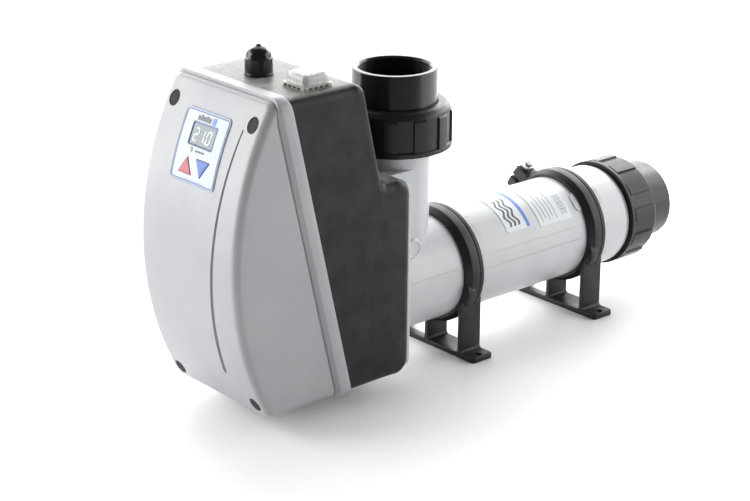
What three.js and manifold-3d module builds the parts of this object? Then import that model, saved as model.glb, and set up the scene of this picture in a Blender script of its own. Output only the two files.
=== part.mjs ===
// In-line electric pool water heater: control box, water tank on two clamp feet, two pipe unions.
// Millimetres, +Z up. The tank lies along Y and the control panel faces -Y.
import * as THREE from 'three';
import { mergeVertices } from 'three/addons/utils/BufferGeometryUtils.js';
import Module from 'manifold-3d';

const wasm = await Module();
wasm.setup();

// ---------- driving dimensions ----------
const gap = 0.3; // running and seating gap between neighbours
const wall = 3; // moulded wall of the box
const riserRadius = 31.5; // 63 mm pipe
const tankRadius = 48;
const tankBore = 43;
const axisZ = 77.7; // tank axis above the floor
const originY = 54.3; // the frame's origin lies this far behind the riser's axis, under the front foot

const boxHalf = 66; // half width of the rear housing
const boxBottom = 16.5;
const boxTop = 286;
const boxBack = -40.6; // lower rear wall, outside
const coverHalf = 65.5;
const rimHalf = 68.5;
const rimLap = 2.5; // how far the cover's rim stands above and below the box
const rimDepth = 14.7;
const partingY = -101.4; // back of the cover's rim at floor height
const partingSlope = -0.238; // the parting plane leans forward towards the top
const faceRadius = 260; // side-view arc of the cover's face
const faceApexY = -225.5;
const faceApexZ = 146;

const topBase = 202; // lower face of the top union nut
const rearBase = 263.3; // front face of the rear union nut
const nutBore = 40.4;
const nutHeight = 39;
const sleeveRadius = 37.5;
const socketBore = 31.65; // takes a 63 mm pipe
const unionLength = 69;
const spigotRadius = 40;
const spigotReach = 22.9; // from the nut's base to the spigot's end

const footFront = [42, 201.3]; // front faces of the two feet
const footDepth = 24.6;
const strapWidth = 20.5;
const clampInner = 48.35;
const clampOuter = 54.3;

// ---------- colours and finishes ----------
const finishes = {
  lightShell: [0xd2d3d5, 0.45, 0],
  blackShell: [0x2f2d2e, 0.55, 0],
  tankPlastic: [0xdfe2e4, 0.4, 0],
  blackGloss: [0x1b1b1c, 0.25, 0],
  blackMatt: [0x262425, 0.6, 0],
  rubber: [0x1e1e1e, 0.8, 0],
  label: [0xeef2f6, 0.35, 0],
  red: [0xc23a3a, 0.4, 0],
  blue: [0x2b62a8, 0.4, 0],
  lens: [0x9fb0b4, 0.15, 0],
  lamp: [0xb8342c, 0.3, 0],
  clear: [0xe8ebec, 0.2, 0],
  steel: [0xb9bcc0, 0.3, 1],
  titanium: [0x8f8d88, 0.35, 1],
  board: [0x1f5a3a, 0.5, 0],
  creamPlastic: [0xd9d4c6, 0.5, 0],
};

// ---------- geometry helpers ----------
const group = new THREE.Group();
const sign = (side) => (side ? 1 : -1);
const rad = (deg) => THREE.MathUtils.degToRad(deg);
const alongXBasis = new THREE.Matrix4().makeBasis(
  new THREE.Vector3(0, 1, 0), new THREE.Vector3(0, 0, 1), new THREE.Vector3(1, 0, 0));
const alongYBasis = new THREE.Matrix4().makeBasis(
  new THREE.Vector3(1, 0, 0), new THREE.Vector3(0, 0, 1), new THREE.Vector3(0, -1, 0));

// A closed body for booleans: welded vertices, no flat triangles, faces outward.
function solid(geometry) {
  const bare = geometry.clone();
  bare.deleteAttribute('normal');
  bare.deleteAttribute('uv');
  const welded = mergeVertices(bare, 1e-4);
  const p = welded.attributes.position.array;
  const kept = [];
  let volume = 0;
  for (let i = 0; i < welded.index.count; i += 3) {
    const [a, b, c] = [0, 1, 2].map((k) => welded.index.array[i + k]);
    if (a === b || b === c || c === a) continue;
    kept.push(a, b, c);
    const [u, v, w] = [a, b, c].map((k) => new THREE.Vector3(p[3 * k], p[3 * k + 1], p[3 * k + 2]));
    volume += u.dot(v.cross(w));
  }
  if (volume < 0) kept.reverse();
  const mesh = new wasm.Mesh({
    numProp: 3,
    vertProperties: new Float32Array(p),
    triVerts: new Uint32Array(kept),
  });
  return new wasm.Manifold(mesh);
}

function geometryOf(body) {
  const mesh = body.getMesh();
  const geometry = new THREE.BufferGeometry();
  geometry.setAttribute('position', new THREE.BufferAttribute(new Float32Array(mesh.vertProperties), 3));
  geometry.setIndex(new THREE.BufferAttribute(new Uint32Array(mesh.triVerts), 1));
  return geometry;
}

function addNode(name, body, finish, matrix = null) {
  const geometry = geometryOf(body);
  if (matrix) geometry.applyMatrix4(matrix);
  geometry.translate(0, -originY, 0);
  geometry.computeVertexNormals();
  const [color, roughness, metalness] = finishes[finish];
  const mesh = new THREE.Mesh(geometry, new THREE.MeshStandardMaterial({ color, roughness, metalness }));
  mesh.name = name;
  group.add(mesh);
}

const join = (parts) => parts.reduce((whole, part) => whole.add(part));
const cut = (body, tools) => tools.reduce((left, tool) => left.subtract(tool), body);

function block(x0, x1, y0, y1, z0, z1) {
  const geometry = new THREE.BoxGeometry(x1 - x0, y1 - y0, z1 - z0);
  return solid(geometry.translate((x0 + x1) / 2, (y0 + y1) / 2, (z0 + z1) / 2));
}

// A round bar along an axis, from a0 to a1 on that axis, centred at c on the other two.
function bar(axis, c, radius, a0, a1, segments = 24, radiusEnd = radius) {
  const geometry = new THREE.CylinderGeometry(radiusEnd, radius, a1 - a0, segments);
  geometry.translate(0, (a0 + a1) / 2, 0);
  if (axis === 'x') geometry.rotateZ(-Math.PI / 2).translate(0, c[0], c[1]);
  if (axis === 'y') geometry.translate(c[0], 0, c[1]);
  if (axis === 'z') geometry.rotateX(Math.PI / 2).translate(c[0], c[1], 0);
  return solid(geometry);
}

// A turned body about the local Z axis from a list of [radius, height].
function turned(profile, segments = 36) {
  const points = profile.map(([r, h]) => new THREE.Vector2(r, h));
  const closed = profile[0][0] > 0 ? [...points, points[0]] : points;
  return solid(new THREE.LatheGeometry(closed, segments).rotateX(Math.PI / 2));
}

function extruded(shape, depth, bevel = 0, curveSegments = 5, bevelSegments = 2) {
  const geometry = new THREE.ExtrudeGeometry(shape, {
    depth: depth - 2 * bevel,
    curveSegments,
    bevelEnabled: bevel > 0,
    bevelThickness: bevel,
    bevelSize: bevel,
    bevelOffset: -bevel,
    bevelSegments,
  });
  return geometry.translate(0, 0, bevel);
}

// A (y, z) shape spanning x from -half to half.
function acrossX(shape, half, bevel = 0, curveSegments = 5) {
  return solid(extruded(shape, 2 * half, bevel, curveSegments).applyMatrix4(alongXBasis).translate(-half, 0, 0));
}

// An (x, z) shape spanning y from y0 to y1.
function alongY(shape, y0, y1, bevel = 0, curveSegments = 5) {
  return solid(extruded(shape, y1 - y0, bevel, curveSegments).applyMatrix4(alongYBasis).translate(0, y1, 0));
}

// An (x, y) shape spanning z from z0 to z1.
function upZ(shape, z0, z1, bevel = 0, curveSegments = 5) {
  return solid(extruded(shape, z1 - z0, bevel, curveSegments).translate(0, 0, z0));
}

function polygon(points) {
  const shape = new THREE.Shape();
  points.forEach(([u, v], i) => (i ? shape.lineTo(u, v) : shape.moveTo(u, v)));
  shape.closePath();
  return shape;
}

// A polygon whose corners [u, v, radius] are rounded.
function roundedPolygon(corners) {
  const shape = new THREE.Shape();
  corners.forEach(([u, v, r], i) => {
    const here = new THREE.Vector2(u, v);
    const before = corners[(i + corners.length - 1) % corners.length];
    const after = corners[(i + 1) % corners.length];
    const back = new THREE.Vector2(before[0], before[1]).sub(here).normalize();
    const ahead = new THREE.Vector2(after[0], after[1]).sub(here).normalize();
    const half = back.angleTo(ahead) / 2;
    const reach = r / Math.tan(half);
    const start = here.clone().addScaledVector(back, reach);
    const end = here.clone().addScaledVector(ahead, reach);
    if (i) shape.lineTo(start.x, start.y);
    else shape.moveTo(start.x, start.y);
    if (r > 0) shape.quadraticCurveTo(u, v, end.x, end.y);
  });
  shape.closePath();
  return shape;
}

function roundedBox(u0, u1, v0, v1, r) {
  return roundedPolygon([[u0, v0, r], [u1, v0, r], [u1, v1, r], [u0, v1, r]]);
}

// Part of a ring between two radii and two angles in degrees, in the (x, z) plane about the tank's axis.
function ringSector(r0, r1, a0, a1) {
  const shape = new THREE.Shape();
  shape.absarc(0, axisZ, r1, rad(a0), rad(a1), false);
  shape.absarc(0, axisZ, r0, rad(a1), rad(a0), true);
  shape.closePath();
  return shape;
}

// ---------- the slanted parting plane of the box ----------
const partingAt = (z) => partingY + partingSlope * z;
const boxHeight = boxTop + 2 * rimLap;

// Everything between two offsets from the parting plane, measured along Y (positive is rearward).
function partingSlab(y0, y1) {
  const z0 = -20;
  const z1 = boxHeight + 20;
  return acrossX(polygon([
    [partingAt(z0) + y0, z0],
    [partingAt(z0) + y1, z0],
    [partingAt(z1) + y1, z1],
    [partingAt(z1) + y0, z1],
  ]), 2 * boxHalf);
}

// ---------- rear housing ----------
const upperLean = -0.236; // the upper rear wall leans forward this much per millimetre of height
const shelfZ = 195.5;
const upperFootY = -71; // where the upper rear wall would meet the shelf

function housingProfile(inset) {
  const lean = 0.83 * inset;
  const topY = upperFootY + upperLean * (boxTop - shelfZ);
  return roundedPolygon([
    [-260, boxBottom + inset, 0],
    [boxBack - inset, boxBottom + inset, 13 - inset],
    [boxBack - inset, shelfZ - inset, 12 - inset],
    [upperFootY - lean, shelfZ - inset, 11 + inset],
    [topY - lean, boxTop - inset, 11 - inset],
    [-260, boxTop - inset, 0],
  ]);
}

function housingEnvelope(inset, frontOffset) {
  const side = acrossX(housingProfile(inset), boxHalf - inset, inset ? 1.5 : 3.5, 6);
  const front = alongY(
    roundedBox(inset - boxHalf, boxHalf - inset, boxBottom + inset, boxTop - inset, 9.5 - inset), -250, 0, 0, 6);
  return side.intersect(front).intersect(partingSlab(frontOffset, 300));
}

const screwX = 51.6;
const screwZ = [28, 267.4];
const screwPoints = [0, 1].flatMap((top) => [0, 1].map((side) => ({
  x: sign(side) * screwX,
  z: screwZ[top],
  name: `${top ? 'top' : 'bottom'}_${side ? 'right' : 'left'}`,
})));
const boltRing = 52;
const boltPoints = [45, 135, 225, 315].map((deg) => [
  boltRing * Math.cos(rad(deg)), axisZ + boltRing * Math.sin(rad(deg)),
]);
const switchAt = [41, -131];
const rockerThrow = 20; // degrees between off and on
const resetAt = [-10.4, -140];
const glandAt = [-78, 62];
const rimLapDepth = 4; // the housing's front edge sits this far inside the cover's rim

function rearHousing() {
  const shell = housingEnvelope(0, -rimLapDepth).subtract(housingEnvelope(wall, -60));
  const pillars = screwPoints.map(({ x, z }) => {
    const y = partingAt(z) - rimLapDepth + 0.8;
    return bar('y', [x, z], 11.8, y, y + 22, 20).intersect(housingEnvelope(wall / 2, -rimLapDepth));
  });
  const holes = [
    bar('y', [0, axisZ], 47, boxBack - 2 * wall, 0, 40),
    block(switchAt[0] - 11.5, switchAt[0] + 11.5, switchAt[1] - 11.5, switchAt[1] + 11.5, boxTop - 8, boxTop + 5),
    bar('z', resetAt, 7.3, boxTop - 8, boxTop + 5),
    bar('x', glandAt, 10.3, -boxHalf - 5, -boxHalf + 8),
    ...boltPoints.map((p) => bar('y', p, 3.4, boxBack - 2 * wall, 0, 12)),
    ...screwPoints.map(({ x, z }) => bar('y', [x, z], 2.7, partingAt(z) - 20, partingAt(z) + 30, 12)),
  ];
  addNode('rear_housing', cut(join([shell, ...pillars]), holes), 'blackShell');
}

// ---------- front cover ----------
const faceY = (z) => faceApexY + faceRadius - Math.sqrt(faceRadius ** 2 - (z - faceApexZ) ** 2);
const faceTilt = (z) => Math.asin((z - faceApexZ) / faceRadius);
const coverTop = boxTop - 0.5;

// The D-shaped side view of the cover, inset all round.
function coverProfile(inset, zTop) {
  const shape = new THREE.Shape();
  const z0 = boxBottom + inset;
  const z1 = zTop - inset;
  const radius = faceRadius - inset;
  const centreY = faceApexY + faceRadius;
  const steps = 18;
  shape.moveTo(-60, z0);
  const round = 5 - inset / 2;
  for (let i = 0; i <= steps; i += 1) {
    const z = z0 + round * 0.8 + ((z1 - z0 - round * 1.6) * i) / steps;
    shape.lineTo(centreY - Math.sqrt(radius ** 2 - (z - faceApexZ) ** 2), z);
    if (i === steps) shape.quadraticCurveTo(faceY(z1) + inset + 0.5, z1, faceY(z1) + inset + round, z1);
  }
  shape.lineTo(-60, z1);
  shape.closePath();
  return shape;
}

function coverEnvelope(inset, backOffset) {
  const side = acrossX(coverProfile(inset, coverTop), coverHalf - inset, inset ? 3 : 6, 4);
  const front = alongY(
    roundedBox(inset - coverHalf, coverHalf - inset, boxBottom + inset, coverTop - inset, 9 - inset), -250, -40, 0, 6);
  return side.intersect(front).intersect(partingSlab(-220, backOffset));
}

function rimFrame(outset, r, y0, y1) {
  const shape = roundedBox(-boxHalf - outset, boxHalf + outset, boxBottom - outset, boxTop + outset, r);
  return alongY(shape, -260, 0, 0, 6).intersect(partingSlab(y0, y1));
}

// Rounded-rectangle prism through the face, for label outlines and windows.
const faceWindow = (x0, x1, z0, z1, r) => alongY(roundedBox(x0, x1, z0, z1, r), -260, -185, 0, 3);

const labelBox = [-30.4, 27.6, 209.9, 266.7, 4];
const lensBox = [-16.2, 13.8, 239.7, 256.9, 1.5];
const buttonSize = [18.4, 13.4];
const buttons = [
  { name: 'up_button', x: -12.2, z: 223.3, up: true, finish: 'red' },
  { name: 'down_button', x: 7.6, z: 223.3, up: false, finish: 'blue' },
];
const lampAt = [-10.4, 235.6];

// The triangular outline of a button about its own middle.
function buttonShape({ up }, grow) {
  const w = buttonSize[0] / 2 + grow * 1.7;
  const h = buttonSize[1] / 2 + grow;
  const tip = up ? h + grow : -h - grow;
  const base = up ? -h : h;
  return roundedPolygon([[-w, base, 0.6], [w, base, 0.6], [0, tip, 0.6]]);
}

// Placement of a flat piece at height z on the face: local x across, y up the face, z outward.
function faceMatrix(x, z) {
  const a = faceTilt(z);
  const up = new THREE.Vector3(0, Math.sin(a), Math.cos(a));
  const out = new THREE.Vector3(0, -Math.cos(a), Math.sin(a));
  return new THREE.Matrix4().makeBasis(new THREE.Vector3(1, 0, 0), up, out).setPosition(x, faceY(z), z);
}

const placed = (body, matrix) => solid(geometryOf(body).applyMatrix4(matrix));

// The button and lamp openings, square to the face.
const panelHoles = () => [
  placed(bar('z', [0, 0], 2, -12, 12, 12), faceMatrix(...lampAt)),
  ...buttons.map((b) => placed(upZ(buttonShape(b, 0.4), -14, 6, 0, 2), faceMatrix(b.x, b.z))),
];

// The strip of the face's long curved groove, narrow at the top and wide at the bottom.
function grooveShape() {
  const z0 = 49;
  const span = 212;
  const steps = 20;
  const edge = (s, side) => {
    const width = 0.9 + 3.3 * (1 - s) ** 0.8;
    return [25.8 + 17 * s + (side * width) / 2, z0 + span * s];
  };
  const up = Array.from({ length: steps + 1 }, (_, i) => edge(i / steps, 1));
  const down = Array.from({ length: steps + 1 }, (_, i) => edge(1 - i / steps, -1));
  return polygon([...up, ...down]);
}

function faceShell(r0, r1) {
  const centreY = faceApexY + faceRadius;
  const span = 33;
  const steps = 18;
  const ring = (r, i) => {
    const a = rad(-span + (2 * span * i) / steps);
    return [centreY - r * Math.cos(a), faceApexZ + r * Math.sin(a)];
  };
  const outer = Array.from({ length: steps + 1 }, (_, i) => ring(r1, i));
  const inner = Array.from({ length: steps + 1 }, (_, i) => ring(r0, steps - i));
  return acrossX(polygon([...outer, ...inner]), coverHalf);
}

const plugRadius = 6;
const plugFloor = 9.5; // depth of the screw's counterbore below the face, at its middle

function frontCover() {
  const body = coverEnvelope(0, -rimDepth + 0.5);
  const rim = rimFrame(rimLap, 12, -rimDepth, 0);
  const hollow = coverEnvelope(wall, -rimDepth + 3);
  const rimHollow = rimFrame(gap + 0.1, 9.9, -6.5, 1);
  const throat = rimFrame(-wall - 0.3, 6.5, -rimDepth - 1, -5);
  const shell = cut(join([body, rim]), [hollow, rimHollow, throat]);
  const bosses = screwPoints.map(({ x, z }) => bar('y', [x, z], 11, faceY(z) + 1.5, partingAt(z) - 8, 20)
    .intersect(coverEnvelope(wall / 2, -8)));
  const holes = [
    ...screwPoints.flatMap(({ x, z }) => [
      bar('y', [x, z], plugRadius + gap, faceY(z) - 12, faceY(z) + plugFloor, 20),
      bar('y', [x, z], 2.9, faceY(z), partingAt(z), 12),
    ]),
    faceWindow(...lensBox),
    ...panelHoles(),
    alongY(grooveShape(), -260, -185).intersect(faceShell(faceRadius - 0.8, faceRadius + 4)),
  ];
  addNode('front_cover', cut(join([shell, ...bosses]), holes), 'lightShell');
}

function coverGasket() {
  const frame = rimFrame(0, 9.5, -6.2, -4.3).subtract(rimFrame(-wall, 6.5, -9, 1));
  addNode('cover_gasket', frame, 'rubber');
}

function coverScrews() {
  screwPoints.forEach(({ x, z, name }) => {
    const seat = faceY(z) + plugFloor;
    const head = bar('y', [x, z], 4.6, seat - 2.9, seat - 0.1, 16);
    const shank = bar('y', [x, z], 2.3, seat - 1, partingAt(z) + 12, 10);
    const drive = bar('y', [x, z], 1.8, seat - 4, seat - 1.5, 6);
    addNode(`cover_screw_${name}`, head.add(shank).subtract(drive), 'steel');
    const plug = bar('y', [x, z], plugRadius, faceY(z) - 6, seat - 3.3, 20);
    const dome = faceShell(faceRadius - 30, faceRadius - 0.4);
    addNode(`screw_plug_${name}`, plug.intersect(dome), 'blackMatt');
  });
}

// ---------- control panel ----------
function controlLabel() {
  const sheet = faceShell(faceRadius + 0.2, faceRadius + 0.7).intersect(faceWindow(...labelBox));
  addNode('control_label', cut(sheet, [faceWindow(...lensBox), ...panelHoles()]), 'label');
}

function panelPieces() {
  buttons.forEach((b) => {
    const cap = upZ(buttonShape(b, 0), -5.2, 1.4, 0.4, 2);
    addNode(b.name, cap, b.finish, faceMatrix(b.x, b.z));
  });
  const [x0, x1, z0, z1] = lensBox;
  const lensMid = [(x0 + x1) / 2, (z0 + z1) / 2];
  const w = (x1 - x0) / 2 - gap;
  const h = (z1 - z0) / 2 - gap;
  addNode('display_lens', upZ(roundedBox(-w, w, -h, h, 1.2), -1.2, 0.3), 'lens', faceMatrix(...lensMid));
  const moduleBody = upZ(roundedBox(-w + 0.4, w - 0.4, -h + 0.6, h - 0.6, 1), -7.5, -1.5);
  addNode('display_module', moduleBody, 'blackMatt', faceMatrix(...lensMid));
  const lamp = turned([[0, -7], [1.6, -7], [1.6, 0.4], [1.1, 1], [0, 1.2]], 12);
  addNode('status_lamp', lamp, 'lamp', faceMatrix(...lampAt));
  const board = upZ(roundedBox(-32, 32, -30, 28, 2), -12.2, -10.6);
  const keys = buttons.map((b) => block(b.x + 2.5 - 3, b.x + 2.5 + 3, -18, -12, -10.7, -6.9));
  const chips = [block(18, 27, -2, 8, -10.7, -8.8), block(-28, -22, -4, 10, -10.7, -8)];
  addNode('control_board', join([board, ...keys, ...chips]), 'board', faceMatrix(-2.5, 238));
}

// ---------- top of the box: rocker switch, splash boot, reset ----------
function rockerSwitch() {
  const [x, y] = switchAt;
  const z = boxTop;
  const flange = upZ(roundedBox(x - 14.5, x + 14.5, y - 15, y + 15, 2), z + 0.2, z + 3.2, 0.5, 3);
  const well = block(x - 11.1, x + 11.1, y - 11.1, y + 11.1, z - 20, z + 1);
  const cavity = block(x - 8.2, x + 8.2, y - 9.6, y + 9.6, z - 8, z + 8);
  const pinHoles = bar('x', [y, z - 1.5], 1.3, x - 9.6, x + 9.6, 12);
  const tabs = [-6, 0, 6].map((dx) => block(x + dx - 0.4, x + dx + 0.4, y - 3, y + 3, z - 28, z - 19.5));
  addNode('switch_frame', cut(join([flange, well, ...tabs]), [cavity, pinHoles]), 'clear');

  const side = roundedPolygon([
    [y - 8.3, z + 4.2, 0.8], [y, z + 2.4, 0], [y + 8.3, z + 4.2, 0.8], [y + 5, z - 4.5, 2], [y - 5, z - 4.5, 2],
  ]);
  const paddle = solid(extruded(side, 15.6, 0, 3).applyMatrix4(alongXBasis).translate(x - 7.8, 0, 0));
  const pins = bar('x', [y, z - 1.5], 1.1, x - 9.2, x + 9.2, 12);
  const tip = new THREE.Matrix4().makeTranslation(0, y, z - 1.5)
    .multiply(new THREE.Matrix4().makeRotationX(rad(-rockerThrow / 2)))
    .multiply(new THREE.Matrix4().makeTranslation(0, -y, 1.5 - z));
  addNode('switch_rocker', paddle.add(pins), 'blackGloss', tip);

  const boot = upZ(roundedBox(x - 13.2, x + 13.2, y - 13.6, y + 13.6, 4), z + 3.5, z + 13, 2, 4);
  const inside = upZ(roundedBox(x - 11.6, x + 11.6, y - 12, y + 12, 3), z + 2, z + 11.4, 1.5, 4);
  addNode('switch_boot', boot.subtract(inside), 'clear');
}

function resetPieces() {
  const [x, y] = resetAt;
  const z = boxTop;
  const at = new THREE.Matrix4().makeTranslation(x, y, z);
  const cutout = turned([
    [2.9, -16], [10, -16], [10, -3.6], [7, -3.6], [7, 8], [3.4, 8], [3.4, -8], [2.9, -8],
  ], 24);
  addNode('overheat_cutout', cutout, 'blackMatt', at);
  const button = turned([[0, -10.5], [2.6, -10.5], [2.6, -5.7], [3.1, -5.7], [3.1, 9.6], [2.5, 10.2], [0, 10.2]], 16);
  addNode('reset_button', button, 'red', at);
  const cap = turned([
    [7.6, 0.3], [12, 0.3], [12, 14.2], [11.6, 15], [11.2, 17.6], [9.6, 20.8], [6.8, 23], [2.6, 24.2], [2.3, 25.4],
    [0, 25.9], [0, 18.5], [6.2, 16], [7.6, 13],
  ], 28);
  addNode('reset_cap', cap, 'blackGloss', at);
}

// ---------- water tank ----------
const saddleHalf = 31.4; // the block that ties the riser to the flange plate
const saddleTop = 186;

function tank() {
  const flangeY = boxBack + gap;
  const flange = alongY(roundedBox(-64, 64, boxBottom + 3.5, shelfZ - 6.5, 10), flangeY, flangeY + 3.5, 0, 4);
  const saddle = block(-saddleHalf, saddleHalf, flangeY + 1, 0, axisZ + 30, saddleTop);
  const saddleCore = block(-saddleHalf + wall, saddleHalf - wall, flangeY - 1, -wall, axisZ + 55, saddleTop - wall)
    .subtract(bar('z', [0, 0], riserRadius, axisZ, topBase, 32));
  const outer = join([
    bar('y', [0, axisZ], tankRadius, flangeY, rearBase - 5.3, 44),
    bar('y', [0, axisZ], 46.2, rearBase - 6, rearBase - 0.6, 32),
    bar('y', [0, axisZ], spigotRadius, rearBase - 6, rearBase + spigotReach, 32),
    bar('z', [0, 0], riserRadius, axisZ, topBase + 2, 32),
    bar('z', [0, 0], 35, axisZ, 136, 32, 34),
    bar('z', [0, 0], spigotRadius, topBase + 1, topBase + spigotReach, 32),
    bar('x', [-14, 118], 9, 15, 44, 24),
    flange,
    saddle,
  ]);
  const bores = [
    saddleCore,
    bar('y', [0, axisZ], tankBore, flangeY - 5, rearBase - 8, 32),
    bar('y', [0, axisZ], 32.5, rearBase - 20, rearBase + 40, 24),
    bar('z', [0, 0], 27.5, axisZ, topBase + 40, 24),
    ...boltPoints.map((p) => bar('y', p, 3.4, flangeY - 5, flangeY + 10, 12)),
  ];
  addNode('tank_body', cut(outer, bores), 'tankPlastic');
}

// A label wrapped on the tank between two stations along Y and two angles.
function tubeLabel(name, y0, y1, a0, a1) {
  const shape = ringSector(tankRadius + 0.15, tankRadius + 0.5, a0, a1);
  addNode(name, alongY(shape, y0, y1, 0, 14), 'label');
}

// ---------- unions ----------
function unionParts(prefix, matrix) {
  const ribs = 12;
  const shell = turned([
    [nutBore, 0], [50.7, 0], [50.6, 4.2], [49.1, 5], [49, 33.5], [47.4, 37.2], [44.4, nutHeight],
    [sleeveRadius + 0.5, nutHeight], [sleeveRadius + 0.5, 29.7], [nutBore, 29.7],
  ]);
  const panels = Array.from({ length: ribs }, (_, i) => {
    const a = (360 / ribs) * i;
    const outline = new THREE.Shape();
    outline.absarc(0, 0, 50.7, rad(a), rad(a + 14), false);
    outline.absarc(0, 0, 48.2, rad(a + 14), rad(a), true);
    outline.closePath();
    return upZ(outline, 3.5, 31.5, 0, 1);
  });
  addNode(`${prefix}_union_nut`, join([shell, ...panels]), 'blackMatt', matrix);

  const sleeve = turned([
    [28, 25.3], [39.8, 25.3], [39.8, 29.3], [sleeveRadius, 29.3], [sleeveRadius, unionLength], [32.9, unionLength],
    [socketBore, unionLength - 1.6], [socketBore, 37], [28, 37],
  ]);
  addNode(`${prefix}_union_sleeve`, sleeve, 'blackGloss', matrix);
  const seal = turned([[33.2, 23.1], [38, 23.1], [38, 25.1], [33.2, 25.1]], 24);
  addNode(`${prefix}_union_seal`, seal, 'rubber', matrix);
}

// ---------- clamp feet ----------
const splitDeg = 145.5;
const boltReach = 61; // distance of the clamp bolt's axis from the tank's axis
const legX = [[41.8, 45.6], [-1.8, 2.2], [-45.6, -41.8]];
const legTop = [51, 26, 51];
const baseHalf = 63;
const baseThick = 5;

// Placement in the clamp's split: local x along the bolt towards the nut, y outward, z along the tank.
function splitMatrix(y) {
  const a = rad(splitDeg);
  const along = new THREE.Vector3(Math.sin(a), 0, -Math.cos(a));
  const outward = new THREE.Vector3(Math.cos(a), 0, Math.sin(a));
  return new THREE.Matrix4().makeBasis(along, outward, new THREE.Vector3(0, -1, 0))
    .setPosition(0, y, axisZ);
}

function clampFoot(prefix, y) {
  const mid = y + strapWidth / 2;
  const lugWidth = 8;
  const split = splitMatrix(mid);
  const lug = (t0, t1) => placed(block(t0, t1, 51.6, 67.2, -lugWidth, lugWidth), split);
  const boltHole = placed(bar('x', [boltReach, 0], 3.3, -30, 40, 12), split);

  const cradle = alongY(ringSector(clampInner - 3, clampOuter, splitDeg + 1.8, 338), y, y + strapWidth, 0, 18);
  const legs = legX.map(([x0, x1], i) => alongY(polygon([
    [x0 - 3, baseThick - 1], [x0 - 3, baseThick], [x0, baseThick + 3], [x0, legTop[i]],
    [x1, legTop[i]], [x1, baseThick + 3], [x1 + 3, baseThick], [x1 + 3, baseThick - 1],
  ]), y, y + footDepth));
  const bases = [
    alongY(roundedBox(-1.8, baseHalf, 0, baseThick, 1), y, y + footDepth, 0, 2),
    alongY(roundedBox(-baseHalf, 0, 0, baseThick, 1), y, y + 9, 0, 2),
    alongY(roundedBox(-baseHalf, -41, 0, baseThick, 1), y, y + footDepth, 0, 2),
  ];
  const mountHoles = [57.2, -57.2].map((x) => bar('z', [x, y + footDepth / 2], 2.8, -2, 10, 16));
  const tubeSpace = bar('y', [0, axisZ], clampInner, y - 5, y + footDepth + 5, 40);
  const foot = cut(join([cradle, ...legs, ...bases, lug(-13, -1.8)]), [boltHole, tubeSpace, ...mountHoles]);
  addNode(`${prefix}_foot`, foot, 'blackMatt');

  const band = alongY(ringSector(clampInner - 3, clampOuter, -21.5, splitDeg - 1.8), y, y + strapWidth, 0, 17);
  const hook = alongY(ringSector(clampOuter + gap, 58.5, -29, -13), y + 3, y + strapWidth - 3, 0, 4);
  const root = alongY(ringSector(clampOuter - 2, 57, -20, -13), y + 3, y + strapWidth - 3, 0, 3);
  const strap = cut(join([band, hook, root, lug(1.8, 13)]), [boltHole, tubeSpace]);
  addNode(`${prefix}_clamp_strap`, strap, 'blackMatt');

  const shank = bar('x', [boltReach, 0], 3, -16, 21, 12);
  const head = bar('x', [boltReach, 0], 5.5, -17.4, -13.3, 6);
  addNode(`${prefix}_clamp_bolt`, shank.add(head), 'steel', split);
  const nut = bar('x', [boltReach, 0], 5.6, 13.3, 18.4, 6).subtract(bar('x', [boltReach, 0], 3.2, 10, 25, 12));
  addNode(`${prefix}_clamp_nut`, nut, 'steel', split);
}

// ---------- heating and sensing pieces ----------
const discY = [boxBack - wall - gap - 6, boxBack - wall - gap];
const elementX = [-19, 0, 19];
const elementRise = 14;
const pocketAt = [9.5, axisZ + 31];
const paddleAt = [-28, 50];

function elementFlange() {
  const disc = bar('y', [0, axisZ], 60, discY[0], discY[1], 32)
    .intersect(block(-60, 60, -60, -40, boxBottom + wall + 10.5, 150));
  const holes = [
    ...elementX.flatMap((x) => [-elementRise, elementRise].map((dz) => bar('y', [x, axisZ + dz], 4.5, -60, -40, 10))),
    ...boltPoints.map((p) => bar('y', p, 3.4, -60, -40, 12)),
    bar('y', pocketAt, 3.9, -60, -40, 12),
    bar('y', [0, paddleAt[1]], 4.4, -60, -40, 12),
  ];
  addNode('element_flange', cut(disc, holes), 'steel');
  const ring = bar('y', [0, axisZ], 46.6, discY[1] + 0.1, boxBack + gap - 0.1, 28)
    .subtract(bar('y', [0, axisZ], 43.6, -60, -30, 28));
  addNode('element_gasket', ring, 'rubber');
  boltPoints.forEach((p, i) => {
    const shank = bar('y', p, 3, discY[0] - 2, boxBack + gap + 3, 12);
    const head = bar('y', p, 5.2, discY[0] - 4.6, discY[0] - 0.2, 6);
    addNode(`flange_bolt_${i + 1}`, shank.add(head), 'steel');
  });
}

class HalfTurn extends THREE.Curve {
  getPoint(t, target = new THREE.Vector3()) {
    const a = Math.PI * (t - 0.5);
    return target.set(0, elementRise * Math.cos(a), elementRise * Math.sin(a));
  }
}

function heatingElements() {
  const reach = 212;
  const tubeRadius = 4;
  elementX.forEach((x, i) => {
    const circle = new THREE.Shape();
    circle.absarc(0, 0, tubeRadius, 0, 2 * Math.PI, false);
    const bend = new THREE.ExtrudeGeometry(circle, {
      steps: 6, curveSegments: 4, extrudePath: new HalfTurn(), bevelEnabled: false,
    });
    const legs = [-elementRise, elementRise].map((dz) => bar('y', [0, dz], tubeRadius, -62 - reach, 0.2, 8));
    const terminals = [-elementRise, elementRise].map((dz) => bar('y', [0, dz], 2, -70 - reach, -61 - reach, 6));
    const hairpin = join([solid(bend), ...legs, ...terminals]);
    addNode(`heating_element_${i + 1}`, hairpin, 'titanium', new THREE.Matrix4().makeTranslation(x, reach, axisZ));
  });
  const pocket = bar('y', pocketAt, 3.5, -62, 70, 12).add(bar('y', pocketAt, 6, discY[0] - 6, discY[0] - 0.3, 6));
  addNode('sensor_pocket', pocket, 'titanium');
}

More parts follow.
